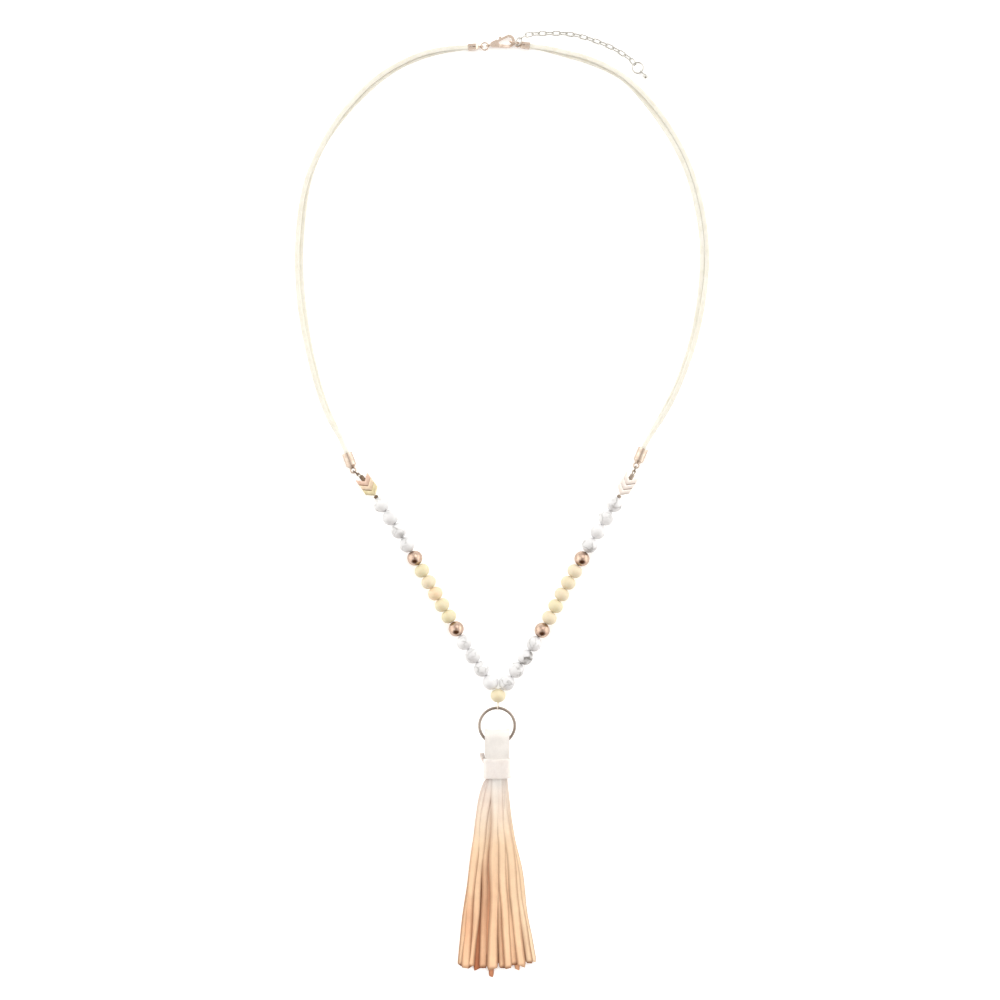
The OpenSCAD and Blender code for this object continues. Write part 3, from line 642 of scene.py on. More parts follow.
@dataclass(frozen=True)
class SplitSuede(Finish):
    """Split suede: the napped inner side of the hide, dyed pale, with a soft halo and no gloss."""

    name: str = "split_suede"
    slot: str = "lace_suede"
    nap: str = "#eeece4"
    brushed: str = "#e6e4d9"
    edge: str = "#dfdcd0"
    sheen: float = 0.35
    scatter: float = 0.55

    def ground(self, tree: bpy.types.NodeTree, place: Any) -> Any:
        """Build the colour before the edges and the nap: brushed patches a few millimetres across.

        Args:
            tree: the material's tree.
            place: the socket of the place on the piece.

        Returns:
            The node of the colour.
        """
        patch = add(tree, "TexNoise", {"Scale": 240.0, "Detail": 4.0, "Roughness": 0.6}, {"Vector": place})
        return add(tree, "ValToRGB", {"stops": ((0.38, self.nap), (0.66, self.brushed))}, {"Fac": patch})

    def shade(self, tree: bpy.types.NodeTree) -> Any:
        """Build matt suede with cut edges, whose fibres, 0.05 mm thick, are drawn as tufts of 0.25 mm to show.

        Args:
            tree: the material's tree.

        Returns:
            The shader node.
        """
        place = add(tree, "TexCoord").outputs["Object"]
        rim = add(tree, "Attribute", {"attribute_name": "rim"}).outputs["Fac"]
        # On the tassel's strips the edge colour paints the shade between strips and at their tips as well as
        # their cut edges
        edge_and_gap_shade = add(tree, "Mix", {"data_type": "RGBA", 7: self.edge}, {0: rim, 6: self.ground(tree, place)})
        tufts = add(tree, "TexNoise", {"Scale": 4000.0, "Detail": 5.0, "Roughness": 0.7}, {"Vector": place})
        shade = add(tree, "MapRange", {"span": (0.3, 0.7, 0.90, 1.06)}, {"Value": tufts})
        tint = add(tree, "VectorMath", {"operation": "SCALE"}, {0: edge_and_gap_shade, "Scale": shade})
        relief = add(tree, "Bump", {"Strength": 0.55, "Distance": 0.00018}, {"Height": tufts})
        return add(tree, "BsdfPrincipled",
                   {"Roughness": 0.95, "Specular IOR Level": 0.2, "Sheen Weight": self.sheen,
                    "Sheen Roughness": 0.45, "Subsurface Weight": self.scatter, "Subsurface Scale": 0.001,
                    "Subsurface Radius": (1.0, 0.95, 0.88)}, {"Base Color": tint, "Normal": relief})


@dataclass(frozen=True)
class GradedSuede(SplitSuede):
    """The tassel's suede: cream at its head and apricot below, with brown cut edges that also paint the shade
    between strips.
    """

    name: str = "graded_suede"
    slot: str = "tassel_suede"
    # Colours by height alone: paler towards the head, deeper apricot towards the tips
    head: str = "#e9e5e1"
    root: str = "#f7ece0"
    waist: str = "#f6d6b4"
    skirt: str = "#fbcfa8"
    # Red-brown painted shade for strips lying under others
    red_brown_shade: str = "#bb5f33"
    cream: str = "#f8e8ca"
    # Brown of the cut edges, which also paints the shade between strips and at their tips
    edge: str = "#7d4522"
    scatter: float = 0.1
    head_y: float = -0.1385
    root_y: float = -0.146
    waist_y: float = -0.172
    skirt_y: float = -0.215

    def ground(self, tree: bpy.types.NodeTree, place: Any) -> Any:
        """Build the change of colour down the tassel, each strip's own colour with red-brown painted shade on
        covered strips, and the mottle.

        Args:
            tree: the material's tree.
            place: the socket of the place on the piece.

        Returns:
            The node of the colour.
        """
        y = add(tree, "SeparateXYZ", {}, {0: place}).outputs[1]
        down = add(tree, "MapRange", {"span": (self.head_y, self.skirt_y)}, {"Value": y})
        knees = [(at - self.head_y) / (self.skirt_y - self.head_y) for at in (self.root_y, self.waist_y)]
        colour_down = add(tree, "ValToRGB", {"stops": ((0.0, self.head), (knees[0], self.root), (knees[1], self.waist),
                                               (1.0, self.skirt))}, {"Fac": down})
        # Below zero the strip's colour share paints red-brown shade on strips lying under others; above zero it
        # is the strip's own pale cream
        tone = add(tree, "Attribute", {"attribute_name": "tone"}).outputs["Fac"]
        under_strip_shade = add(tree, "MapRange", {"span": (0.0, -1.0, 0.0, 0.8)}, {"Value": tone})
        paler = add(tree, "MapRange", {"span": (0.0, 1.0, 0.0, 0.75)}, {"Value": tone})
        under_shaded = add(tree, "Mix", {"data_type": "RGBA", 7: self.red_brown_shade}, {0: under_strip_shade, 6: colour_down})
        pale = add(tree, "Mix", {"data_type": "RGBA", 7: self.cream}, {0: paler, 6: under_shaded})
        patch = add(tree, "TexNoise", {"Scale": 160.0, "Detail": 4.0, "Roughness": 0.6}, {"Vector": place})
        mottle = add(tree, "MapRange", {"span": (0.3, 0.7, 0.93, 1.05)}, {"Value": patch})
        return add(tree, "VectorMath", {"operation": "SCALE"}, {0: pale, "Scale": mottle})


@dataclass(frozen=True)
class WaxedThread(Finish):
    """Waxed cotton thread: twisted plies under a thin wax, pale at the ring and browned towards the crimps."""

    name: str = "waxed_thread"
    slot: str = "thread"
    dark: str = "#8d7a62"
    light: str = "#b5a283"
    pale: str = "#f0e8da"

    def shade(self, tree: bpy.types.NodeTree) -> Any:
        """Build plies as diagonal bands, drawn 0.4 mm apart.

        Args:
            tree: the material's tree.

        Returns:
            The shader node.
        """
        place = add(tree, "TexCoord").outputs["Object"]
        plies = add(tree, "TexWave", {"bands_direction": "DIAGONAL", "Scale": 800.0, "Distortion": 1.0},
                    {"Vector": place}).outputs["Fac"]
        tint = add(tree, "ValToRGB", {"stops": ((0.1, self.dark), (0.9, self.light))}, {"Fac": plies})
        aside = add(tree, "Math", {"operation": "ABSOLUTE"}, {0: add(tree, "SeparateXYZ", {}, {0: place})})
        browned = add(tree, "MapRange", {"span": (0.003, 0.05)}, {"Value": aside})
        worn = add(tree, "Mix", {"data_type": "RGBA", 6: self.pale}, {0: browned, 7: tint})
        relief = add(tree, "Bump", {"Strength": 0.5, "Distance": 0.00005}, {"Height": plies})
        return add(tree, "BsdfPrincipled", {"Roughness": 0.6, "Sheen Weight": 0.1},
                   {"Base Color": worn, "Normal": relief})


HOWLITE = PolishedHowlite()
MAPLE = TurnedMaple()
ROSE = PlatedMetal()
PALE_ROSE = PlatedMetal("pale_rose_plate", "bead_metal", "#d4c4b6", "#b9a492", 0.26)
SILVER_ROSE = PlatedMetal("silvered_rose_plate", "bead_metal", "#f0e8e2", "#e9ddd5", 0.42)
GREEN_GOLD = PlatedMetal("green_gold_plate", "bead_metal", "#e1d5b2", "#cdbf96", 0.42)
WARM_GOLD = PlatedMetal("warm_gold_plate", "bead_metal", "#e8d5bd", "#d8bfa3", 0.42)
PINK_GOLD = PlatedMetal("pink_gold_plate", "bead_metal", "#e7cbb9", "#d3af99", 0.42)
AGED_ROSE = PlatedMetal("aged_rose_plate", "bead_metal", "#ddccbe", "#b5a08e", 0.26, 1.6)
PEWTER = PlatedMetal("brown_pewter_plate", "ring_metal", "#a3978e", "#85796f", 0.28, 4.0)
DARK_CRIMP = PlatedMetal("oxidised_crimp_plate", "bead_metal", "#7a6858", "#4d3d31", 0.3)
GREY_CRIMP = PlatedMetal("worn_crimp_plate", "bead_metal", "#a3968a", "#7a6c60", 0.3)
STEEL = PlatedMetal("grey_steel_plate", "chain_metal", "#c9c7c2", "#b1afa9", 0.25)
LACE = SplitSuede()
TASSEL = GradedSuede()
TIE = SplitSuede("tie_suede", "lace_suede", "#ebe5e1", "#e4ddd9", "#d4cac4")
THREAD = WaxedThread()


@dataclass(frozen=True)
class StringLayout:
    """Where each piece of the two strings sits, with the tassel's ring under the centre bead."""

    howlite_d: float = 8.0
    metal_d: float = 7.8
    wood_d: float = 7.7
    wood_l: float = 6.6
    bead_bore: float = 1.2
    wood_bore: float = 1.6
    bead_gap: float = 0.1
    chevron_l: float = 2.9
    crimp_l: float = 3.4
    stop_l: float = 1.2
    thread_d: float = 0.5
    thread_gap: float = 0.12
    ring_wire: float = 0.7
    cap_ring_d: float = 3.6
    cap_loop_d: float = 3.4
    loop_wire: float = 0.8
    cap_l: float = 6.6
    cap_shoulder: float = 1.4
    cap_z: float = 2.6
    link_gap: float = 0.1
    tassel_ring_wire: float = 1.4
    tassel_ring_drop: float = 2.9
    centre_at: tuple[float, float] = (0.3, -96.65)
    order: tuple[str, ...] = (("howlite",) * 4 + ("metal",) + ("wood",) * 5 + ("metal",) + ("howlite",) * 4
                              + ("stop",) + ("chevron",) * 3 + ("crimp",))
    # Routes from the centre bead up, columns x, y, share of the way down to the caps' height
    left: tuple[Point, ...] = (
        (-1.3, -93.1, 0), (-5.6, -86.7, 0), (-14.8, -73.1, 0), (-24.2, -57.3, 0), (-34.5, -39.8, 0),
        (-43.6, -24, 0), (-51.2, -11, 0), (-60.4, 2.4, 0), (-68.6, 13.8, 1), (-72.6, 16.4, 1), (-76, 25.4, 1),
        (-78.4, 32, 1))
    right: tuple[Point, ...] = (
        (2.2, -93.3, 0), (7.2, -87, 0), (16.5, -73.6, 0), (25, -59.6, 0), (35.3, -40.2, 0), (44.4, -24.4, 0),
        (51.8, -11.6, 0), (60.4, 2.4, 0), (68.5, 15.1, 1), (70, 19.4, 1), (73.9, 28.6, 1), (76.4, 34.6, 1))

    @property
    def axis_z(self) -> float:
        """Return the height of the beads' holes."""
        return max(self.howlite_d, self.metal_d, self.wood_d) / 2

    def length(self, kind: str) -> float:
        """Find how much of the string a piece takes.

        Args:
            kind: the piece's kind, as the order names it.

        Returns:
            The length, of a ball between the rims of its hole.
        """
        rim = {"howlite": self.howlite_d, "metal": self.metal_d}.get(kind)
        if rim:
            return math.sqrt(rim**2 - self.bead_bore**2)
        plain = {"wood": self.wood_l, "chevron": self.chevron_l, "stop": self.stop_l, "crimp": self.crimp_l}
        return plain[kind]

    def station(self, i: int) -> float:
        """Return how far up its string piece i starts."""
        return sum(self.length(kind) + self.bead_gap for kind in self.order[:i])

    def route(self, side: Side) -> list[Vector]:
        """Return the route of a side's string."""
        rows = self.left if side is Side.LEFT else self.right
        return [Vector((x, y, mix(self.axis_z, self.cap_z, share))) for x, y, share in rows]

    def junction(self, side: Side, i: int) -> Vector:
        """Return the point between piece i and the one before it."""
        return along(self.route(side), self.station(i))

    def spots(self, side: Side, kind: str) -> list[tuple[Vector, Vector]]:
        """Find where the pieces of a kind sit.

        Args:
            side: the string's side.
            kind: the kind, as the order names it.

        Returns:
            The middle and the heading of each, from the centre up.
        """
        places = [i for i, k in enumerate(self.order) if k == kind]
        ends = [(self.junction(side, i), self.junction(side, i + 1)) for i in places]
        return [((a + b) / 2, unit(b - a)) for a, b in ends]

    @property
    def ring_low(self) -> float:
        """Return the station where the jump ring's wire meets the thread."""
        return self.station(len(self.order)) + 2.2 * self.loop_r

    @property
    def loop_r(self) -> float:
        """Return the radius of the thread's turn round the jump ring."""
        return self.ring_wire / 2 + self.thread_gap + self.thread_d / 2

    @property
    def loop_at(self) -> float:
        """Return the station of the middle of an end cap's loop."""
        high = self.ring_low + self.cap_ring_d - self.ring_wire
        return high + self.cap_loop_d / 2 - self.loop_wire - self.ring_wire / 2 - self.link_gap

    def cap_point(self, side: Side, s: float) -> Vector:
        """Find a point on an end cap's axis.

        Args:
            side: the cap's side.
            s: how far it is from the middle of the cap's loop.

        Returns:
            The point.
        """
        path = self.route(side)
        at = along(path, self.loop_at)
        return at + unit(along(path, self.loop_at + self.cap_loop_d + self.cap_shoulder + self.cap_l) - at) * s

    @property
    def cap_mouth(self) -> float:
        """Return how far an end cap's mouth is from the middle of its loop."""
        return self.cap_loop_d / 2 - self.loop_wire / 2 + self.cap_shoulder + self.cap_l


@dataclass(frozen=True)
class ClaspLayout:
    """Where the loops of the clasp, its rings and the cord ends sit."""

    end_loop_d: float = 3.0
    loop_wire: float = 0.8
    ring_wire: float = 0.7
    link_gap: float = 0.1
    clasp_ring_d: float = 4.4
    hook_ring_d: float = 5.0
    hook_w: float = 1.25
    hook_t: float = 1.4
    clasp_l: float = 13.4
    clasp_w: float = 6.6
    cord_end_l: float = 4.0
    cord_end_neck: float = 1.2
    back_z: float = 1.71
    clasp_at: tuple[float, float] = (-4.4, 231.7)
    clasp_turn: float = 12
    hook_turn: float = -20
    cord_turn_left: float = 4
    cord_turn_right: float = -7

    @staticmethod
    def ray(turn: float) -> Vector:
        """Return the level direction turned by so many degrees from +X."""
        return Vector((math.cos(math.radians(turn)), math.sin(math.radians(turn)), 0))

    @property
    def hook_ring_r(self) -> float:
        """Return the radius of the hooked ring's wire line."""
        return (self.hook_ring_d - self.ring_wire) / 2

    def hook_ring_at(self) -> Vector:
        """Find the centre of the ring that the clasp hooks.

        Returns:
            The centre.
        """
        z, r = self.hook_ring_d / 2, self.clasp_w / 2
        floor = z - self.back_z + self.hook_t / 2
        inside = math.sqrt((self.hook_ring_r - self.ring_wire / 2) ** 2 - floor**2)
        reach = r - self.hook_w - self.link_gap - 0.1 + inside
        hook = flat(self.clasp_at, z) + self.ray(self.clasp_turn) * (self.clasp_l - r)
        return hook + self.ray(self.hook_turn) * reach

    def hook_wire(self, z: float) -> Vector:
        """Return the hooked ring's wire line at the height z, on the far side from the clasp."""
        at = self.hook_ring_at()
        return flat(at, z) + self.ray(self.hook_turn) * math.sqrt(self.hook_ring_r**2 - (z - at.z) ** 2)

    def cord_point(self, side: Side, s: float) -> Vector:
        """Find a point on a cord end's axis.

        Args:
            side: the cord end's side.
            s: how far it is from the middle of the cord end's loop.

        Returns:
            The point.
        """
        if side is Side.RIGHT:
            return self.hook_wire(self.back_z) + self.ray(self.cord_turn_right) * s
        seat = self.end_loop_d / 2 - self.loop_wire - self.ring_wire / 2 - self.link_gap
        step = seat + (self.clasp_ring_d - self.ring_wire) / 2
        ring = flat(self.clasp_at, self.back_z) - self.ray(self.clasp_turn) * step
        return ring - self.ray(self.cord_turn_left) * (step + s)

    @property
    def cord_mouth(self) -> float:
        """Return how far a cord end's mouth is from the middle of its loop."""
        return self.end_loop_d / 2 - self.loop_wire / 2 + self.cord_end_neck + self.cord_end_l


@dataclass
class Studio:
    """White table, soft light from all round and a camera straight above, as the photograph was taken."""

    view_mm: float = 506.0
    middle: tuple[float, float] = (1.265, 2.02)
    lens: float = 85.0
    sensor: float = 36.0
    clip: tuple[float, float] = (0.05, 20.0)
    table_mm: float = 14000.0
    # How strongly the paper glows, how dim and bright the sky is, and how bright its windows are
    glow: float = 0.35
    dim: float = 0.72
    bright: float = 1.2
    windows: float = 1.1
    # Soft lamps, columns name, place and side in metres, watts: beyond the clasp, and overhead at the left
    lamps: tuple[tuple[str, Point, float, float], ...] = (
        ("key", (0.5, 1.2, 1.6), 1.3, 6.0), ("fill", (-1.1, 0.3, 1.6), 1.4, 3.0))

    def hang_camera(self) -> None:
        """Hang the camera over the middle of the view, square to the table."""
        data = bpy.data.cameras.new("camera")
        data.lens, data.sensor_width, data.sensor_fit = self.lens, self.sensor, "HORIZONTAL"
        data.clip_start, data.clip_end = self.clip
        made = put("camera", data)
        made.location = (self.middle[0] * MM, self.middle[1] * MM, self.view_mm * MM * self.lens / self.sensor)
        bpy.context.scene.camera = made

    def lay_table(self) -> None:
        """Lay a plain white table top under the necklace."""
        half = self.table_mm * MM / 2
        mesh = bpy.data.meshes.new("table")
        corners = [(-half, -half, 0), (half, -half, 0), (half, half, 0), (-half, half, 0)]
        mesh.from_pydata(corners, [], [(0, 1, 2, 3)])
        top = bpy.data.materials.new("white_table")
        top.use_nodes = True
        # The paper glows as a light table does, so no shadow dirties it
        looks = {"Base Color": linear("#f6f6f5"), "Roughness": 0.9, "Specular IOR Level": 0.1,
                 "Emission Color": linear("#ffffff"), "Emission Strength": self.glow}
        for name, value in looks.items():
            top.node_tree.nodes["Principled BSDF"].inputs[name].default_value = value
        mesh.materials.append(top)
        put("table", mesh)

    def spread_sky(self) -> None:
        """Surround the table with a soft sky, brighter beyond the clasp, with a window on each side.

        A brown patch stands for the photographer leaning in under the tassel, and a narrow shade that fades
        beyond the middle for the arm of the camera stand. The polished beads mirror both.
        """
        world = bpy.data.worlds.new("studio")
        world.use_nodes = True
        tree = world.node_tree
        tree.nodes.clear()
        ray = add(tree, "TexCoord").outputs["Generated"]
        narrowed = add(tree, "VectorMath", {"operation": "MULTIPLY", 1: (0.8, 1.0, 1.0)}, {0: ray})
        aim = add(tree, "VectorMath", {"operation": "NORMALIZE"}, {0: narrowed})
        hood = add(tree, "VectorMath", {"operation": "DOT_PRODUCT", 1: (0.0, -0.77, 0.638)}, {0: aim})
        patch = add(tree, "MapRange", {"span": (0.74, 0.94)}, {"Value": hood})
        window = add(tree, "VectorMath", {"operation": "DOT_PRODUCT", 1: (0.25, 0.78, 0.574)}, {0: ray})
        glow = add(tree, "MapRange", {"span": (-0.55, 0.75, self.dim, self.bright)}, {"Value": window})
        parts = add(tree, "SeparateXYZ", {}, {0: ray}).outputs
        sideways = add(tree, "Math", {"operation": "ABSOLUTE"}, {0: parts[0]})
        panes = add(tree, "MapRange", {"span": (0.55, 0.85, 0.0, self.windows)}, {"Value": sideways})
        arm = add(tree, "MapRange", {"span": (0.06, 0.42, 1.0, 0.0)}, {"Value": sideways})
        reach = add(tree, "MapRange", {"span": (-0.5, 0.85, 0.85, 0.0)}, {"Value": parts[1]})
        shade = add(tree, "Math", {"operation": "MULTIPLY"}, {0: arm, 1: reach})
        both = add(tree, "Math", {"operation": "MAXIMUM"}, {0: patch, 1: shade})
        strength = add(tree, "Math", {"operation": "ADD"}, {0: glow, 1: panes})
        tint = add(tree, "Mix", {"data_type": "RGBA", 6: "#fffefb", 7: "#6b4829"}, {0: both})
        light = add(tree, "Background", {}, {"Color": tint, "Strength": strength})
        add(tree, "OutputWorld", {}, {"Surface": light})
        bpy.context.scene.world = world

    def hang_lamps(self) -> None:
        """Hang the lamps, each turned to the middle of the table."""
        for name, place, size, watts in self.lamps:
            data = bpy.data.lights.new(name, "AREA")
            data.shape, data.size, data.energy = "SQUARE", size, watts
            made = put(name, data)
            made.location = place
            made.rotation_euler = (-Vector(place)).to_track_quat("-Z", "Y").to_euler()

    def build(self) -> None:
        """Set up the view, the table and the light."""
        self.hang_camera()
        self.lay_table()
        self.spread_sky()
        self.hang_lamps()
        view = bpy.context.scene.view_settings
        view.view_transform, view.look = "Standard", "None"
        log.info("studio: camera, table, sky and %d lamps", len(self.lamps))


@dataclass
class SuedeLaces:
    """Two pairs of flat suede laces from the end caps to the cord ends."""

    width: float = 2.3
    thick: float = 1.3
    gap: float = 0.1
    corner: float = 0.32
    # How far a pair runs straight out of its metal ends, and how deep it sits in the cord end
    straight: float = 2.0
    seated: float = 2.4
    # The most that a lace rolls, in radians, and that its width and thickness swell, as shares
    roll: float = 0.10
    swells: tuple[float, float] = (0.035, 0.04)
    strings: StringLayout = StringLayout()
    clasp: ClaspLayout = ClaspLayout()
    # Routes of the pairs, columns x, y, distance apart as a share of side by side, lift of the outer lace
    left: tuple[Point, ...] = (
        (-79.6, 34, 0.1, 1), (-85, 44.4, 0.45, 1), (-90, 58, 0.5, 1), (-94.2, 74, 0.6, 1), (-97.4, 90, 0.75, 1),
        (-99.6, 108, 0.85, 1), (-100.2, 127, 0.85, 1), (-98.8, 147, 0.8, 1), (-95.6, 164, 0.5, 1),
        (-89, 180, 0.2, 1), (-79.2, 195.4, 0.5, 1), (-65.4, 210.4, 0.7, 1), (-52, 220.4, 0.5, 1),
        (-38, 226.8, 0.5, 1), (-25, 229.8, 0.3, 1))
    right: tuple[Point, ...] = (
        (78, 36, 0.1, 1), (84.6, 47.2, 0.5, 1), (90.2, 58, 0.5, 1), (95.6, 72, 0.6, 1), (99.8, 86, 0.7, 1),
        (102.8, 102, 0.9, 0.9), (104.6, 119, 1, 0.2), (104.2, 136, 1, 0), (101.4, 153, 1, 0),
        (96.4, 169.6, 1, 0), (88.6, 185.6, 1, 0.2), (77.4, 201.6, 0.9, 0.9), (63.6, 215.6, 0.4, 1),
        (47.6, 223.8, 0.6, 1), (34.4, 227.6, 0.5, 1), (24, 230.2, 0.2, 1))

    def rows(self, side: Side) -> list[Point]:
        """Gather a pair's route with its ends inside the cap and the cord end.

        Args:
            side: the pair's side.

        Returns:
            Rows of x, y, z, distance apart and lift.
        """
        cap, end, rise = self.strings, self.clasp, self.thick + self.gap
        caps = [cap.cap_point(side, cap.cap_mouth + s) for s in (self.straight - cap.cap_l, 0, self.straight)]
        ends = [end.cord_point(side, end.cord_mouth + s) for s in (self.straight, 0, -self.seated)]
        table = self.left if side is Side.LEFT else self.right
        return ([(*p, 0, 1) for p in caps]
                + [(x, y, self.thick / 2 + lift * rise / 2, apart, lift) for x, y, apart, lift in table]
                + [(*p, 0, 1) for p in ends])

    def centre_line(self, side: Side, place: Place) -> list[Vector]:
        """Find the middle of one lace, on its side of the pair's route.

        Args:
            side: the pair's side.
            place: which lace of the pair.

        Returns:
            The points along it.
        """
        rows = smooth(self.rows(side))
        line = [Vector(row[:3]) for row in rows]
        out, sign = side.value[1], place.value[1]
        path = []
        for i, (p, row) in enumerate(zip(line, rows)):
            across = unit(UP.cross(flat(heading(line, i), 0)))
            path.append(p + sign * (out * row[3] * (self.width + self.gap) / 2 * across
                                    + UP * row[4] * (self.thick + self.gap) / 2))
        return path

    def build(self) -> None:
        section = rounded_section(self.width, self.thick, self.corner)
        edges = rims(section, 0.76, 0.8)
        for number, (side, place) in enumerate((s, p) for s in Side for p in Place):
            path = [Vector(p) for p in smooth(smooth([tuple(p) for p in self.centre_line(side, place)]))]
            count = len(path)
            # The roll comes in over a dozen rows from each metal end
            ends = [min(1.0, i / 12, (count - 1 - i) / 12) for i in range(count)]
            rolls = [self.roll * wander(number + 1, i / 9) * e for i, e in enumerate(ends)]
            wide, full = self.swells
            sizes = [(1 + wide * wander(number + 11, i / 4), 1 + full * wander(number + 21, i / 5))
                     for i in range(count)]
            rings = [[flat(p, max(p.z, 0.0)) for p in ring] for ring in sweep(path, section, UP, rolls, sizes)]
            name = f"lace_{side.value[0]}_{place.value[0]}"
            made = Shape().skin(rings, {"rim": [edges] * count}).piece(f"suede_{name}", LACE)
            rest(made, LACE, name)
            mouth = self.strings.cap_point(side, self.strings.cap_mouth)


@dataclass
class BeadStrings:
    """Round stone and metal beads and barrel-shaped wood beads on the two strings, with the centre bead."""

    layout: StringLayout = StringLayout()
    sides: int = 40
    # How far the rims of the holes are softened, and how deep into a ball's hole
    soft: float = 0.15
    lip: float = 0.12
    # The steps of half a round bead's outline and of a barrel's
    ball_steps: int = 22
    barrel_steps: int = 20
    # The most that a bead is smaller than its kind, as a share
    spread: float = 0.006
    # How strongly each howlite bead is veined, from the centre bead up
    left_veining: tuple[float, ...] = (0.15, 0.35, 0.1, 0.2, 0.2, 0.7, 0.1, 0.45)
    right_veining: tuple[float, ...] = (0.25, 0.8, 1.0, 0.45, 0.35, 0.2, 0.3, 0.4)

    def turned(self, name: str, profile: Sequence[Point]) -> bpy.types.Object:
        """Turn a closed profile round Z into one bead, which remembers each point's own place.

        Args:
            name: the bead's name.
            profile: radius and height of each point of the profile, in order, in millimetres.

        Returns:
            The bead as an object at the origin.
        """
        mesh = bpy.data.meshes.new(name)
        work = bmesh.new()
        verts = [work.verts.new((r * MM, 0, z * MM)) for r, z in profile]
        edges = [work.edges.new((a, b)) for a, b in zip(verts, verts[1:] + verts[:1])]
        bmesh.ops.spin(work, geom=verts + edges, cent=(0, 0, 0), axis=(0, 0, 1), angle=math.tau,
                       steps=self.sides, use_merge=True)
        bmesh.ops.remove_doubles(work, verts=work.verts, dist=1e-7)
        bmesh.ops.recalc_face_normals(work, faces=work.faces)
        work.to_mesh(mesh)
        work.free()
        own = mesh.attributes.new("own_place", "FLOAT_VECTOR", "POINT")
        own.data.foreach_set("vector", [c for v in mesh.vertices for c in v.co])
        return put(name, mesh)

    def ball(self, d: float, bore: float) -> list[Point]:
        """Draw the profile of a round bead with a softened bore.

        Args:
            d: the bead's diameter.
            bore: its hole's diameter.

        Returns:
            Radius and height of each point.
        """
        start = math.asin((bore + 2 * self.soft) / d)
        turns = [mix(start, math.pi - start, i / self.ball_steps) for i in range(self.ball_steps + 1)]
        arc = [(d / 2 * math.sin(a), d / 2 * math.cos(a)) for a in turns]
        top = arc[0][1] - self.lip
        return [*arc, (bore / 2, -top), (bore / 2, top)]

    def barrel(self, d: float, length: float, bore: float) -> list[Point]:
        """Draw the profile of a wood bead: a little longer than a ball's belly, with small flat ends.

        Args:
            d: the bead's diameter.
            length: its length along the hole.
            bore: its hole's diameter.

        Returns:
            Radius and height of each point.
        """
        r, core = length / 2, (d - length) / 2
        turns = [math.pi * (0.5 - i / self.barrel_steps) for i in range(self.barrel_steps + 1)]
        arc = [(core + r * math.cos(a), r * math.sin(a)) for a in turns]
        hole, rim = bore / 2, bore / 2 + self.soft
        return [*arc, (rim, -r), (hole, self.soft - r), (hole, r - self.soft), (rim, r)]

    def tree(self) -> bpy.types.NodeTree:
        """Build the tree that strings copies of a bead on points and dresses them.

        Returns:
            The tree.
        """
        tree, source = geometry_tree("beads_on_string", Bead="Object", Size="Float", Finish="Material")
        bead = add(tree, "GeometryNodeObjectInfo", {}, {"Object": source.outputs["Bead"]}).outputs["Geometry"]
        share = add(tree, "GeometryNodeInputNamedAttribute", {"data_type": "FLOAT", "Name": "share"})
        size = add(tree, "Math", {"operation": "MULTIPLY"}, {0: share, 1: source.outputs["Size"]})
        return hang_copies(tree, source, bead, Scale=size)

    def string(self, name: str, bead: bpy.types.Object, finish: Finish, spots: Sequence[tuple[Vector, Vector]],
               veining: Sequence[float], nodes: Sequence[str], tree: bpy.types.NodeTree) -> None:
        """Put copies of a bead on their spots as one piece.

        Args:
            name: the piece's name.
            bead: the bead that is copied.
            finish: its finish.
            spots: the middle and heading of each copy.
            veining: how strongly each copy is veined.
            nodes: the CAD nodes that the piece stands for.
            tree: the tree that strings beads.
        """
        seed = sum(map(ord, name))
        count = len(spots)
        cloud = point_cloud(f"{name}_points", spots, {
            "roll": [math.pi * wander(seed, 3.1 * i) for i in range(count)],
            "share": [1 - self.spread * abs(wander(seed + 5, 2.3 * i)) for i in range(count)],
            "veining": veining, "number": [i + 1 + seed % 7 for i in range(count)]})
        mesh = evaluated(cloud, tree, {"Bead": bead, "Size": 1.0, "Finish": finish.material()})
        mesh.name = name
        rest(settle(name, mesh, finish, CREASE), finish, *nodes)

    def build(self) -> None:
        """String the beads of each kind on each side, then the centre bead."""
        lay, tree = self.layout, self.tree()
        wood = self.turned("wood_source", self.barrel(lay.wood_d, lay.wood_l, lay.wood_bore))
        stone = self.turned("howlite_source", self.ball(lay.howlite_d, lay.bead_bore))
        metal = self.turned("metal_source", self.ball(lay.metal_d, lay.bead_bore))
        kinds = {"howlite": (stone, HOWLITE, "howlite"), "metal": (metal, ROSE, "metal_bead"),
                 "wood": (wood, MAPLE, "wood_bead")}
        for side in Side:
            veining = self.left_veining if side is Side.LEFT else self.right_veining
            for kind, (bead, finish, stem) in kinds.items():
                spots = lay.spots(side, kind)
                nodes = [f"{stem}_{side.value[0]}_{k + 1}" for k in range(len(spots))]
                marks = veining if kind == "howlite" else [0.0] * len(spots)
                self.string(f"{kind}_beads_{side.value[0]}", bead, finish, spots, marks, nodes, tree)
        middle = [(flat(lay.centre_at, lay.axis_z), Vector((0, 1, 0)))]
        self.string("centre_wood_bead", wood, MAPLE, middle, [0.0], ["centre_bead"], tree)
        for bead, _, _ in kinds.values():
            bpy.data.objects.remove(bead)


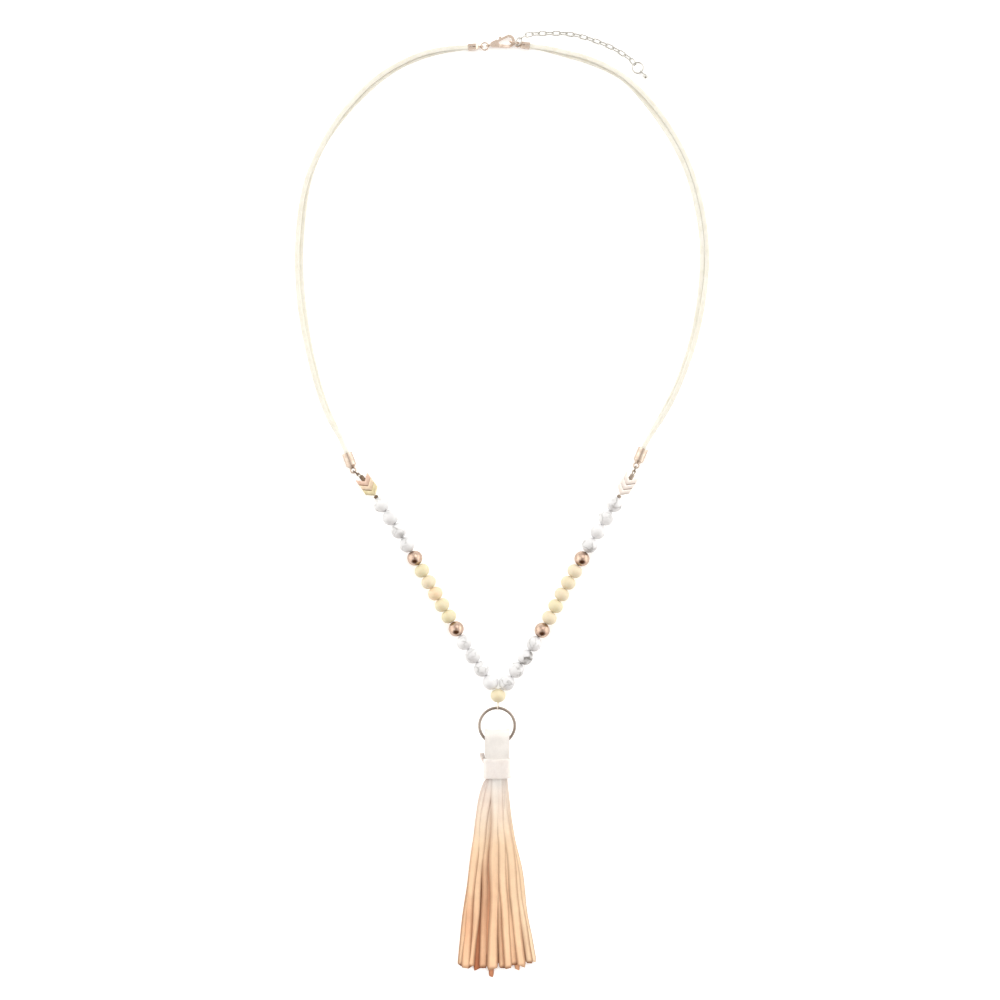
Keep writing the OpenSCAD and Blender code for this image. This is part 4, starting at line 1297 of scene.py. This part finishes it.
@dataclass
class Chevrons:
    """Three nested solid metal chevrons on each string, their edges rounded by tumbling."""

    width: float = 7.2
    sweep_back: float = 3.2
    thick: float = 3.0
    round_mm: float = 0.3
    crease: float = 50
    layout: StringLayout = StringLayout()

    def outline(self) -> list[Point]:
        """Draw the V seen from above, point first.

        Returns:
            Its points, across and along the string.
        """
        half, low, high = self.width / 2, -self.layout.chevron_l / 2, self.layout.chevron_l / 2
        return [(0, low), (half, low + self.sweep_back), (half, high + self.sweep_back), (0, high),
                (-half, high + self.sweep_back), (-half, low + self.sweep_back)]

    def build(self) -> None:
        """Make each chevron from its outline, round its edges and set it on its string."""
        finishes = {Side.LEFT: (GREEN_GOLD, WARM_GOLD, PINK_GOLD), Side.RIGHT: (SILVER_ROSE,) * 3}
        for side in Side:
            spots = self.layout.spots(side, "chevron")
            for k, ((middle, ahead), finish) in enumerate(zip(spots, finishes[side])):
                across = unit(UP.cross(ahead))
                rise = ahead.cross(across)
                rings = [[middle + across * x + ahead * y + rise * z for x, y in self.outline()]
                         for z in (-self.thick / 2, self.thick / 2)]
                name = f"chevron_{side.value[0]}_{k + 1}"
                made = Shape().skin(rings).piece(f"metal_{name}", finish)
                rounding = made.modifiers.new("rounded", "BEVEL")
                rounding.width, rounding.segments, rounding.limit_method = self.round_mm * MM, 4, "ANGLE"
                rest(settle(f"metal_{name}", plain_mesh(made), finish, self.crease), finish, name)


@dataclass
class BeadThread:
    """The waxed thread through all beads, round the tassel's ring and back to the crimps."""

    layout: StringLayout = StringLayout()
    sides: int = 10

    def strand(self, side: Side) -> list[Vector]:
        """Lead the thread up one string, round its jump ring and back into the crimp.

        Args:
            side: the string's side.

        Returns:
            The points of its route.
        """
        lay, n = self.layout, len(self.layout.order)
        last, before = lay.junction(side, n), lay.junction(side, n - 1)
        d = unit(last - before)
        across = unit(UP.cross(d))
        wire = along(lay.route(side), lay.ring_low)
        shift = 0.6 * lay.thread_d * across
        up = [lay.junction(side, i) - (shift if i == n - 1 else Vector()) for i in range(n)]
        turn = [wire + lay.loop_r * (math.cos(math.radians(a)) * d + math.sin(math.radians(a)) * across)
                for a in range(-120, 121, 40)]
        return [*up, last - shift, *turn, last + shift, last - (lay.crimp_l - 0.4) * d + shift]

    def path(self) -> list[Vector]:
        """Lead the thread the whole way, from the left crimp to the right one.

        Returns:
            The points of its route.
        """
        lay = self.layout
        d, x = lay.thread_d, 0.7 * lay.thread_d
        centre = flat(lay.centre_at, lay.axis_z)
        top = centre + Vector((0, lay.wood_l / 2, 0))
        # Columns: across, from the middle of the bead, and above its upper end, for the way into it
        steps = ((2.2 * x, 0.8 * d), (1.3 * x, 0.4 * d), (x, -0.6 * d), (x, -lay.wood_l - d))
        left, right = ([top + Vector((sign * u, v, 0)) for u, v in steps] for sign in (-1, 1))
        ring_top = centre - Vector((0, lay.wood_l / 2 + lay.tassel_ring_drop, 0))
        r = lay.tassel_ring_wire / 2 + lay.thread_gap + d / 2
        wrap = []
        for a in range(60, 301, 40):
            c, s = math.cos(math.radians(a)), math.sin(math.radians(a))
            wrap.append(ring_top + Vector((x * (a - 180) / 120, r * c, r * s)))
        return [*reversed(self.strand(Side.LEFT)), *left, *wrap, *reversed(right), *self.strand(Side.RIGHT)]

    def build(self) -> None:
        """Make the thread."""
        section = oval_section(self.layout.thread_d, self.layout.thread_d, self.sides)
        rings = sweep(self.path(), section, Vector((1, 0, 1)))
        rest(Shape().skin(rings).piece("waxed_bead_thread", THREAD), THREAD, "thread")


@dataclass
class ExtenderChain:
    """The trace chain that lengthens the necklace, each link turned a quarter against its neighbours."""

    link_l: float = 4.8
    link_w: float = 2.8
    wire: float = 0.55
    slack: float = 0.2
    count: int = 19
    drop_d: float = 2.2
    cord_end_h: float = 3.42
    # How far the links lean on the table, in degrees
    lean: float = 45
    clasp: ClaspLayout = ClaspLayout()
    # Route from the hooked ring, columns x, y, height above its rest as a share of the first
    route: tuple[Point, ...] = (
        (11.7, 235, 0.97), (14.6, 236.8, 0.67), (18.4, 237.6, 0.25), (24.5, 237.9, 0), (33, 238, 0),
        (40, 237.1, 0), (47, 235, 0), (53.4, 232.8, 0), (60.6, 229.4, 0), (67.2, 225, 0), (71.4, 220, 0))

    def path(self) -> list[Vector]:
        """Lead the chain from the hooked ring to its end.

        Returns:
            The points of its line.
        """
        first_z = self.cord_end_h + self.wire / 2
        leaning = (self.link_w - self.wire) / 2 * math.sin(math.radians(self.lean)) + self.wire / 2
        low_z = max(leaning, self.drop_d / 2)
        line = [Vector((x, y, mix(low_z, first_z, share))) for x, y, share in self.route]
        hook = self.clasp.hook_wire(first_z)
        return [hook - unit(line[0] - hook) * (self.clasp.ring_wire / 2 + self.clasp.link_gap), *line]

    def tree(self) -> bpy.types.NodeTree:
        """Build the tree that bends a link from wire and sets copies of it along the chain.

        Returns:
            The tree.
        """
        tree, source = geometry_tree("links_along_chain", Link_Length="Float", Link_Width="Float", Wire="Float",
                                     Finish="Material")
        wire = source.outputs["Wire"]
        long = add(tree, "Math", {"operation": "SUBTRACT"}, {0: source.outputs["Link Length"], 1: wire})
        wide = add(tree, "Math", {"operation": "SUBTRACT"}, {0: source.outputs["Link Width"], 1: wire})
        bend = add(tree, "Math", {"operation": "MULTIPLY", 1: 0.4999}, {0: wide})
        oblong = add(tree, "GeometryNodeCurvePrimitiveQuadrilateral", {}, {"Width": wide, "Height": long})
        line = add(tree, "GeometryNodeFilletCurve", {"mode": "POLY", "Count": 6},
                   {"Curve": oblong, "Radius": bend})
        thin = add(tree, "Math", {"operation": "MULTIPLY", 1: 0.5}, {0: wire})
        section = add(tree, "GeometryNodeCurvePrimitiveCircle", {"Resolution": 10}, {"Radius": thin})
        link = add(tree, "GeometryNodeCurveToMesh", {}, {0: line, 1: section})
        # The link is drawn flat with its length on Y: stand its length on Z
        stood = add(tree, "GeometryNodeTransform", {"Rotation": (math.pi / 2, 0, 0)}, {"Geometry": link})
        return hang_copies(tree, source, stood)

    def build(self) -> None:
        """Set the links along the chain, then dress its end ring and drop."""
        path, pitch = self.path(), self.link_l - 2 * self.wire - self.slack
        joints = [along(path, i * pitch) for i in range(self.count + 1)]
        rolls = [math.radians(90 + i % 2 * 90 + self.lean * min(1, i / 3)) for i in range(self.count)]
        cloud = point_cloud("link_points", [((a + b) / 2, unit(b - a)) for a, b in zip(joints, joints[1:])],
                            {"roll": rolls})
        mesh = evaluated(cloud, self.tree(), {"Link Length": self.link_l * MM, "Link Width": self.link_w * MM,
                                              "Wire": self.wire * MM, "Finish": STEEL.material()})
        rest(settle("trace_chain", mesh, STEEL, CREASE), STEEL, "extender_chain")
        dress(STEEL, "end_ring", "end_drop")


@dataclass
class Findings:
    """The cast and bent metal fittings, whose solids are shown as they are."""

    def build(self) -> None:
        """Plate each fitting in its tone."""
        dress(PALE_ROSE, "end_cap_left", "end_cap_right", "clasp_ring")
        dress(DARK_CRIMP, "cap_ring_left", "crimps_left")
        dress(GREY_CRIMP, "cap_ring_right", "crimps_right")
        dress(AGED_ROSE, "cord_end_left", "cord_end_right", "clasp_body", "clasp_lever", "hook_ring")
        dress(PEWTER, "tassel_ring")


@dataclass
class SuedeTassel:
    """Suede strips folded over the ring, wound with a strip at the neck and hanging free below it."""

    ring_d: float = 19.2
    ring_shift: float = -0.5
    head_w: float = 12.4
    head_t: float = 9.4
    head_rise: float = 7.4
    head_drop: float = 7.4
    tie_w: float = 13.9
    tie_t: float = 10.2
    tie_l: float = 10.0
    tie_wall: float = 1.2
    tie_gap: float = 0.15
    # The head's layers, columns how much nearer the middle than the outer one, and how much narrower
    layers: tuple[Point, ...] = ((0, 0), (1.2, 0.5), (2.35, 0.9))
    # At the tie the head is thinner and narrower by these shares, and its sides fall by so much
    pinch: float = 0.15
    waist: float = 0.04
    droop: float = 0.5
    # How deep the head's layers dent and ripple
    dent: float = 0.16
    ripple: float = 0.05
    # The thickness of the wound strip, its turns round the neck, and where it starts, in degrees from the left
    wound_t: float = 0.9
    wound_turns: float = 1.34
    wound_from: float = 38
    # The share of the winding that lies under the rest, and the share over which it comes up
    under_share: float = 0.34
    rise_share: float = 0.12
    strip_w: float = 3.0
    strip_t: float = 1.1
    strip_l: float = 101.0
    strip_spread: float = 18.7
    strip_start: float = 0.6
    strip_root: float = 3.0
    # How much broader and fuller than cut the strips are, and how fast they come down to the table
    plump: float = 1.1
    dome: float = 1.35
    fall: float = 1.8
    # The layers' distance apart at the tips, as a share of the thickness, and how askew the shears leave a tip
    layer_step: float = 0.9
    askew: float = 0.6
    # The most that a strip sways and lifts, in millimetres, and that it rolls, in radians
    sway: float = 1.15
    lift: float = 0.35
    roll: float = 0.5
    steps: int = 42
    layout: StringLayout = StringLayout()
    # Columns: root across the neck, tip across the spread, length as a share, how early it spreads, root height
    # in the neck, layer at the tip, share of the usual width, colour from -1, red-brown painted shade of strips
    # lying under others, to 1, the strip's own pale cream
    strips: tuple[Point, ...] = (
        (-0.9, -0.99, 0.945, 0.6, 0.45, 0, 1, 0.3), (-0.75, -0.86, 0.955, 0.6, 0.75, 1, 1.3, -0.1),
        (-0.55, -0.71, 0.95, 0.65, 0.9, 1, 1.25, 0.0), (-0.8, -0.9, 0.93, 0.8, 0.2, 0, 1, -0.3),
        (-0.5, -0.55, 0.965, 0.7, 0.3, 0, 1.1, -1.0), (-0.55, -0.38, 0.955, 0.65, 0.8, 1, 1.2, -0.25),
        (-0.2, -0.16, 1, 1, 0.5, 0, 0.75, -1.0), (-0.15, -0.13, 0.96, 0.9, 0.95, 2, 1.7, 0.1),
        (0, 0.15, 0.955, 1.1, 0.9, 1, 1.2, 0.05), (0, 0.02, 0.93, 1, 0.1, 0, 1, -0.75),
        (0.2, 0.3, 0.955, 1.2, 0.95, 2, 1.2, 0.1), (0.25, 0.2, 0.94, 1, 0.3, 0, 1, -0.5),
        (0.35, 0.47, 0.94, 1.2, 0.9, 1, 1.25, 0.0), (0.4, 0.55, 0.965, 1.1, 0.4, 0, 0.8, -0.6),
        (0.5, 0.67, 0.945, 1.2, 0.85, 2, 1.3, 0.2), (0.65, 0.88, 0.93, 1.1, 0.7, 1, 1.15, 0.6),
        (0.6, 0.8, 0.92, 1, 0.25, 0, 1, 0.2), (0.85, 0.98, 0.925, 1.1, 0.45, 0, 1, 0.9),
        (-0.3, -0.3, 0.9, 1, 0.1, 0, 1, -0.6), (-0.65, -0.65, 0.89, 0.9, 0.1, 0, 1, -0.4),
        (0.45, 0.38, 0.9, 1, 0.1, 0, 1, -0.6), (-0.05, -0.04, 0.9, 1, 0.6, 1, 1, -0.5),
        (0.1, 0.2, 0.9, 1, 0.65, 1, 1, -0.5), (-0.35, -0.25, 0.9, 1, 0.55, 1, 1, -0.6))
    # The free end of the neck tie: its width, and its route, columns across, along and up from its corner of
    # the neck, roll in degrees
    tab_w: float = 2.4
    tab: tuple[Point, ...] = (
        (0.5, -2.2, -0.2, 80), (0.3, -1.2, 0.0, 65), (-0.1, -0.2, 0.2, 50), (-0.45, 0.8, 0.3, 38),
        (-0.7, 1.8, 0.3, 30), (-0.8, 2.6, 0.2, 28))

    @property
    def neck_z(self) -> float:
        """Return the height of the middle of the neck."""
        return self.tie_t / 2

    @property
    def ring_low(self) -> Vector:
        """Find the lowest point of the ring's wire line.

        Returns:
            The point.
        """
        lay = self.layout
        r = (self.ring_d - lay.tassel_ring_wire) / 2
        lean = math.asin((self.neck_z - lay.axis_z) / (2 * r))
        top_y = lay.centre_at[1] - lay.wood_l / 2 - lay.tassel_ring_drop
        top = Vector((lay.centre_at[0] + self.ring_shift, top_y, lay.axis_z))
        return top + Vector((0, -2 * r * math.cos(lean), 2 * r * math.sin(lean)))

    @property
    def neck_y(self) -> float:
        """Return where the tie ends and the strips hang free."""
        return self.ring_low.y - self.head_drop - self.tie_l

    def strip_point(self, row: Point, t: float) -> Vector:
        """Find the middle of a strip.

        Args:
            row: its row of the table.
            t: how far down it, as a share of its length.

        Returns:
            The point.
        """
        root, tip, share, ease, height, layer = row[:6]
        neck_w = self.tie_w - 2 * (self.tie_wall + self.tie_gap)
        neck_t = self.tie_t - 2 * (self.tie_wall + self.tie_gap)
        x = self.ring_low.x
        return Vector((mix(x + root * (neck_w - self.strip_w) / 2, x + tip * self.strip_spread, t**ease),
                       self.neck_y - mix(self.strip_start, self.strip_l * share, t),
                       mix(self.strip_t / 2 + layer * self.strip_t * self.layer_step,
                           self.neck_z + (height - 0.5) * (neck_t - self.strip_t), (1 - t) ** self.fall)))

    def strip_shape(self, shape: Shape, number: int, row: Point) -> None:
        """Add one hanging strip with its small waves, its roll and its cupped section.

        Args:
            shape: the shape that gets it.
            number: which strip it is.
            row: its row of the table.
        """
        width = self.strip_w * self.plump * row[6] * (1 + 0.04 * wander(number + 151, 0.5))
        section = oval_section(width, self.strip_t * self.dome, 20, 0.75)
        path, rolls = [self.strip_point(row, 0) + Vector((0, self.strip_root, 0))], [0.0]
        for t in [*(i / self.steps for i in range(self.steps)), 0.984, 0.992, 1.0]:
            sway = self.sway * math.sin(math.pi * min(1, 1.15 * t)) * wander(number + 31, 3.2 * t)
            lift = self.lift * t * abs(wander(number + 61, 4.0 * t))
            path.append(self.strip_point(row, t) + Vector((sway, 0, lift)))
            rolls.append(self.roll * min(1, 2.5 * t) * wander(number + 91, 2.6 * t))
        count, whole = len(path), len(path) - 3
        sizes = [(1.0, 1.0)] * whole + [(0.97, 0.95), (0.88, 0.8), (0.7, 0.55)]
        rings = sweep(path, section, UP, rolls, sizes)
        cut = self.askew * wander(number + 7, 1.5)
        rings[-1] = [p + Vector((0, cut * q[0], 0)) for p, q in zip(rings[-1], section)]
        rings = [[flat(p, max(p.z, 0.02)) for p in ring] for ring in rings]
        # Cut edges show bare at the tip and less towards the neck; their brown also paints the shade between
        # strips, deeper towards the tips, and at the tips. Each strip's colour, with painted shade on covered
        # strips, comes in on the way
        tip_edge_and_shade = clamp(0.6 + wander(number + 301, 0.4), 0.2)
        tips = [0.0] * whole + [0.2 * tip_edge_and_shade, 0.7 * tip_edge_and_shade, tip_edge_and_shade]
        sides = rims(section, 0.48, 1.0)
        edges = [[max(side * (0.36 + 0.52 * i / count), tip) for side in sides] for i, tip in enumerate(tips)]
        tones_and_shade = [row[7] * min(1.0, 0.15 + 1.1 * i / count) + 0.15 * wander(number + 211, i / 9)
                 for i in range(count)]
        shape.skin(rings, {"rim": edges, "tone": [[tone] * len(section) for tone in tones_and_shade]})

    def head_shape(self) -> Shape:
        """Fold three layers of suede over the ring, each a band down the front, round the fold and up the back.

        Returns:
            The layers.
        """
        shape = Shape()
        low = self.ring_low
        fold = low.y + self.head_rise - self.head_t / 2
        for layer, (inwards, narrower) in enumerate(self.layers):
            mid, width = self.head_t / 2 - inwards - self.strip_t / 2, self.head_w - narrower
            straight = [mix(self.neck_y + 2, fold, i / 16) for i in range(16)]
            tight = [clamp((self.neck_y + self.tie_l + 2.2 - y) / 2.8) for y in straight]
            heights = [self.neck_z + mid * (1 - self.pinch * s) for s in tight]
            front = [Vector((low.x, y, z)) for y, z in zip(straight, heights)]
            arc = [Vector((low.x, fold + mid * math.sin(a), self.neck_z + mid * math.cos(a)))
                   for a in (math.pi * i / 14 for i in range(15))]
            back = [Vector((p.x, p.y, 2 * self.neck_z - p.z)) for p in reversed(front)]
            path = front + arc + back
            squeeze = [*tight, *[0.0] * len(arc), *reversed(tight)]
            section = rounded_section(width, self.strip_t, 0.3, 3, 9)
            rings = []
            for i, (p, s) in enumerate(zip(path, squeeze)):
                rise = heading(path, i).cross(Vector((-1, 0, 0)))
                dent = self.dent * wander(layer + 3, i / 5)
                narrow = (1 - 0.012 * wander(layer + 7, i / 3)) * (1 - self.waist * s)
                ring = []
                for x, z in section:
                    bow = (2 * x / width) ** 2
                    height = z + dent * (1 - bow) - self.droop * s * bow
                    height += self.ripple * wander(layer + 13, x * 1.1)
                    ring.append(p + Vector((-x * narrow, 0, 0)) + rise * height)
                rings.append(ring)
            shape.skin(rings, {"rim": [rims(section, 0.92, 0.12)] * len(path),
                               "tone": [[0.0] * len(section)] * len(path)})
        return shape

    def tie_shape(self) -> Shape:
        """Wind the tie round the neck, its one end lapped on the front and its other standing out at the left.

        Returns:
            The tie.
        """
        low, steps, wall = self.ring_low, 96, self.wound_t
        section = [(y, x) for x, y in rounded_section(self.tie_l - 0.3, wall, 0.28, 2, 5)]
        path = []
        for i in range(steps + 1):
            turn = math.tau * (self.wound_turns * i / steps) + math.radians(self.wound_from)
            under = wall * clamp((self.under_share - i / steps) / self.rise_share)
            w, t = self.tie_w / 2 - wall / 2 - under, self.tie_t / 2 - wall / 2 - under
            c, s = math.cos(turn), math.sin(turn)
            k = (abs(c) ** 4 + abs(s) ** 4) ** -0.25
            path.append(Vector((low.x - w * c * k, self.neck_y + self.tie_l / 2, self.neck_z + t * s * k)))
        rings = []
        for i, p in enumerate(path):
            out = heading(path, i).cross(Vector((0, 1, 0)))
            sag, swell = 0.12 * wander(4, i / 11), 1 + 0.01 * wander(9, i / 7)
            rings.append([p + out * q[0] + Vector((0, q[1] * swell + sag, 0)) for q in section])
        edges = [0.15 * clamp((abs(q[1]) - 0.47 * self.tie_l) / (0.02 * self.tie_l)) for q in section]
        shape = Shape().skin(rings, {"rim": [edges] * len(rings)})
        corner = Vector((low.x - self.tie_w / 2, self.neck_y + self.tie_l, self.neck_z))
        flap = rounded_section(self.tab_w, self.strip_t, 0.3, 2, 3)
        tab = [corner + Vector(row[:3]) for row in self.tab]
        rings = sweep(tab, flap, UP, [math.radians(row[3]) for row in self.tab])
        return shape.skin(rings, {"rim": [[0.4 if abs(q[0]) > 1.0 else 0.1 for q in flap]] * len(rings)})

    def build(self) -> None:
        """Make the hanging strips with the head as one piece, and the tie as another."""
        shape = self.head_shape()
        for number, row in enumerate(self.strips):
            self.strip_shape(shape, number, row)
        rest(shape.piece("suede_tassel", TASSEL, CREASE), TASSEL, "tassel")
        rest(self.tie_shape().piece("suede_neck_tie", TIE, CREASE), TIE, "neck_tie")


def main() -> None:
    """Build the studio and each sub-assembly in order, and report them."""
    logging.basicConfig(level=logging.INFO, format="%(name)s %(message)s")
    for part in (Studio(), SuedeLaces(), BeadStrings(), Chevrons(), BeadThread(), ExtenderChain(), Findings(),
                 SuedeTassel()):
        log.info("building %s", type(part).__name__)
        part.build()


if __name__ == "__main__":
    main()
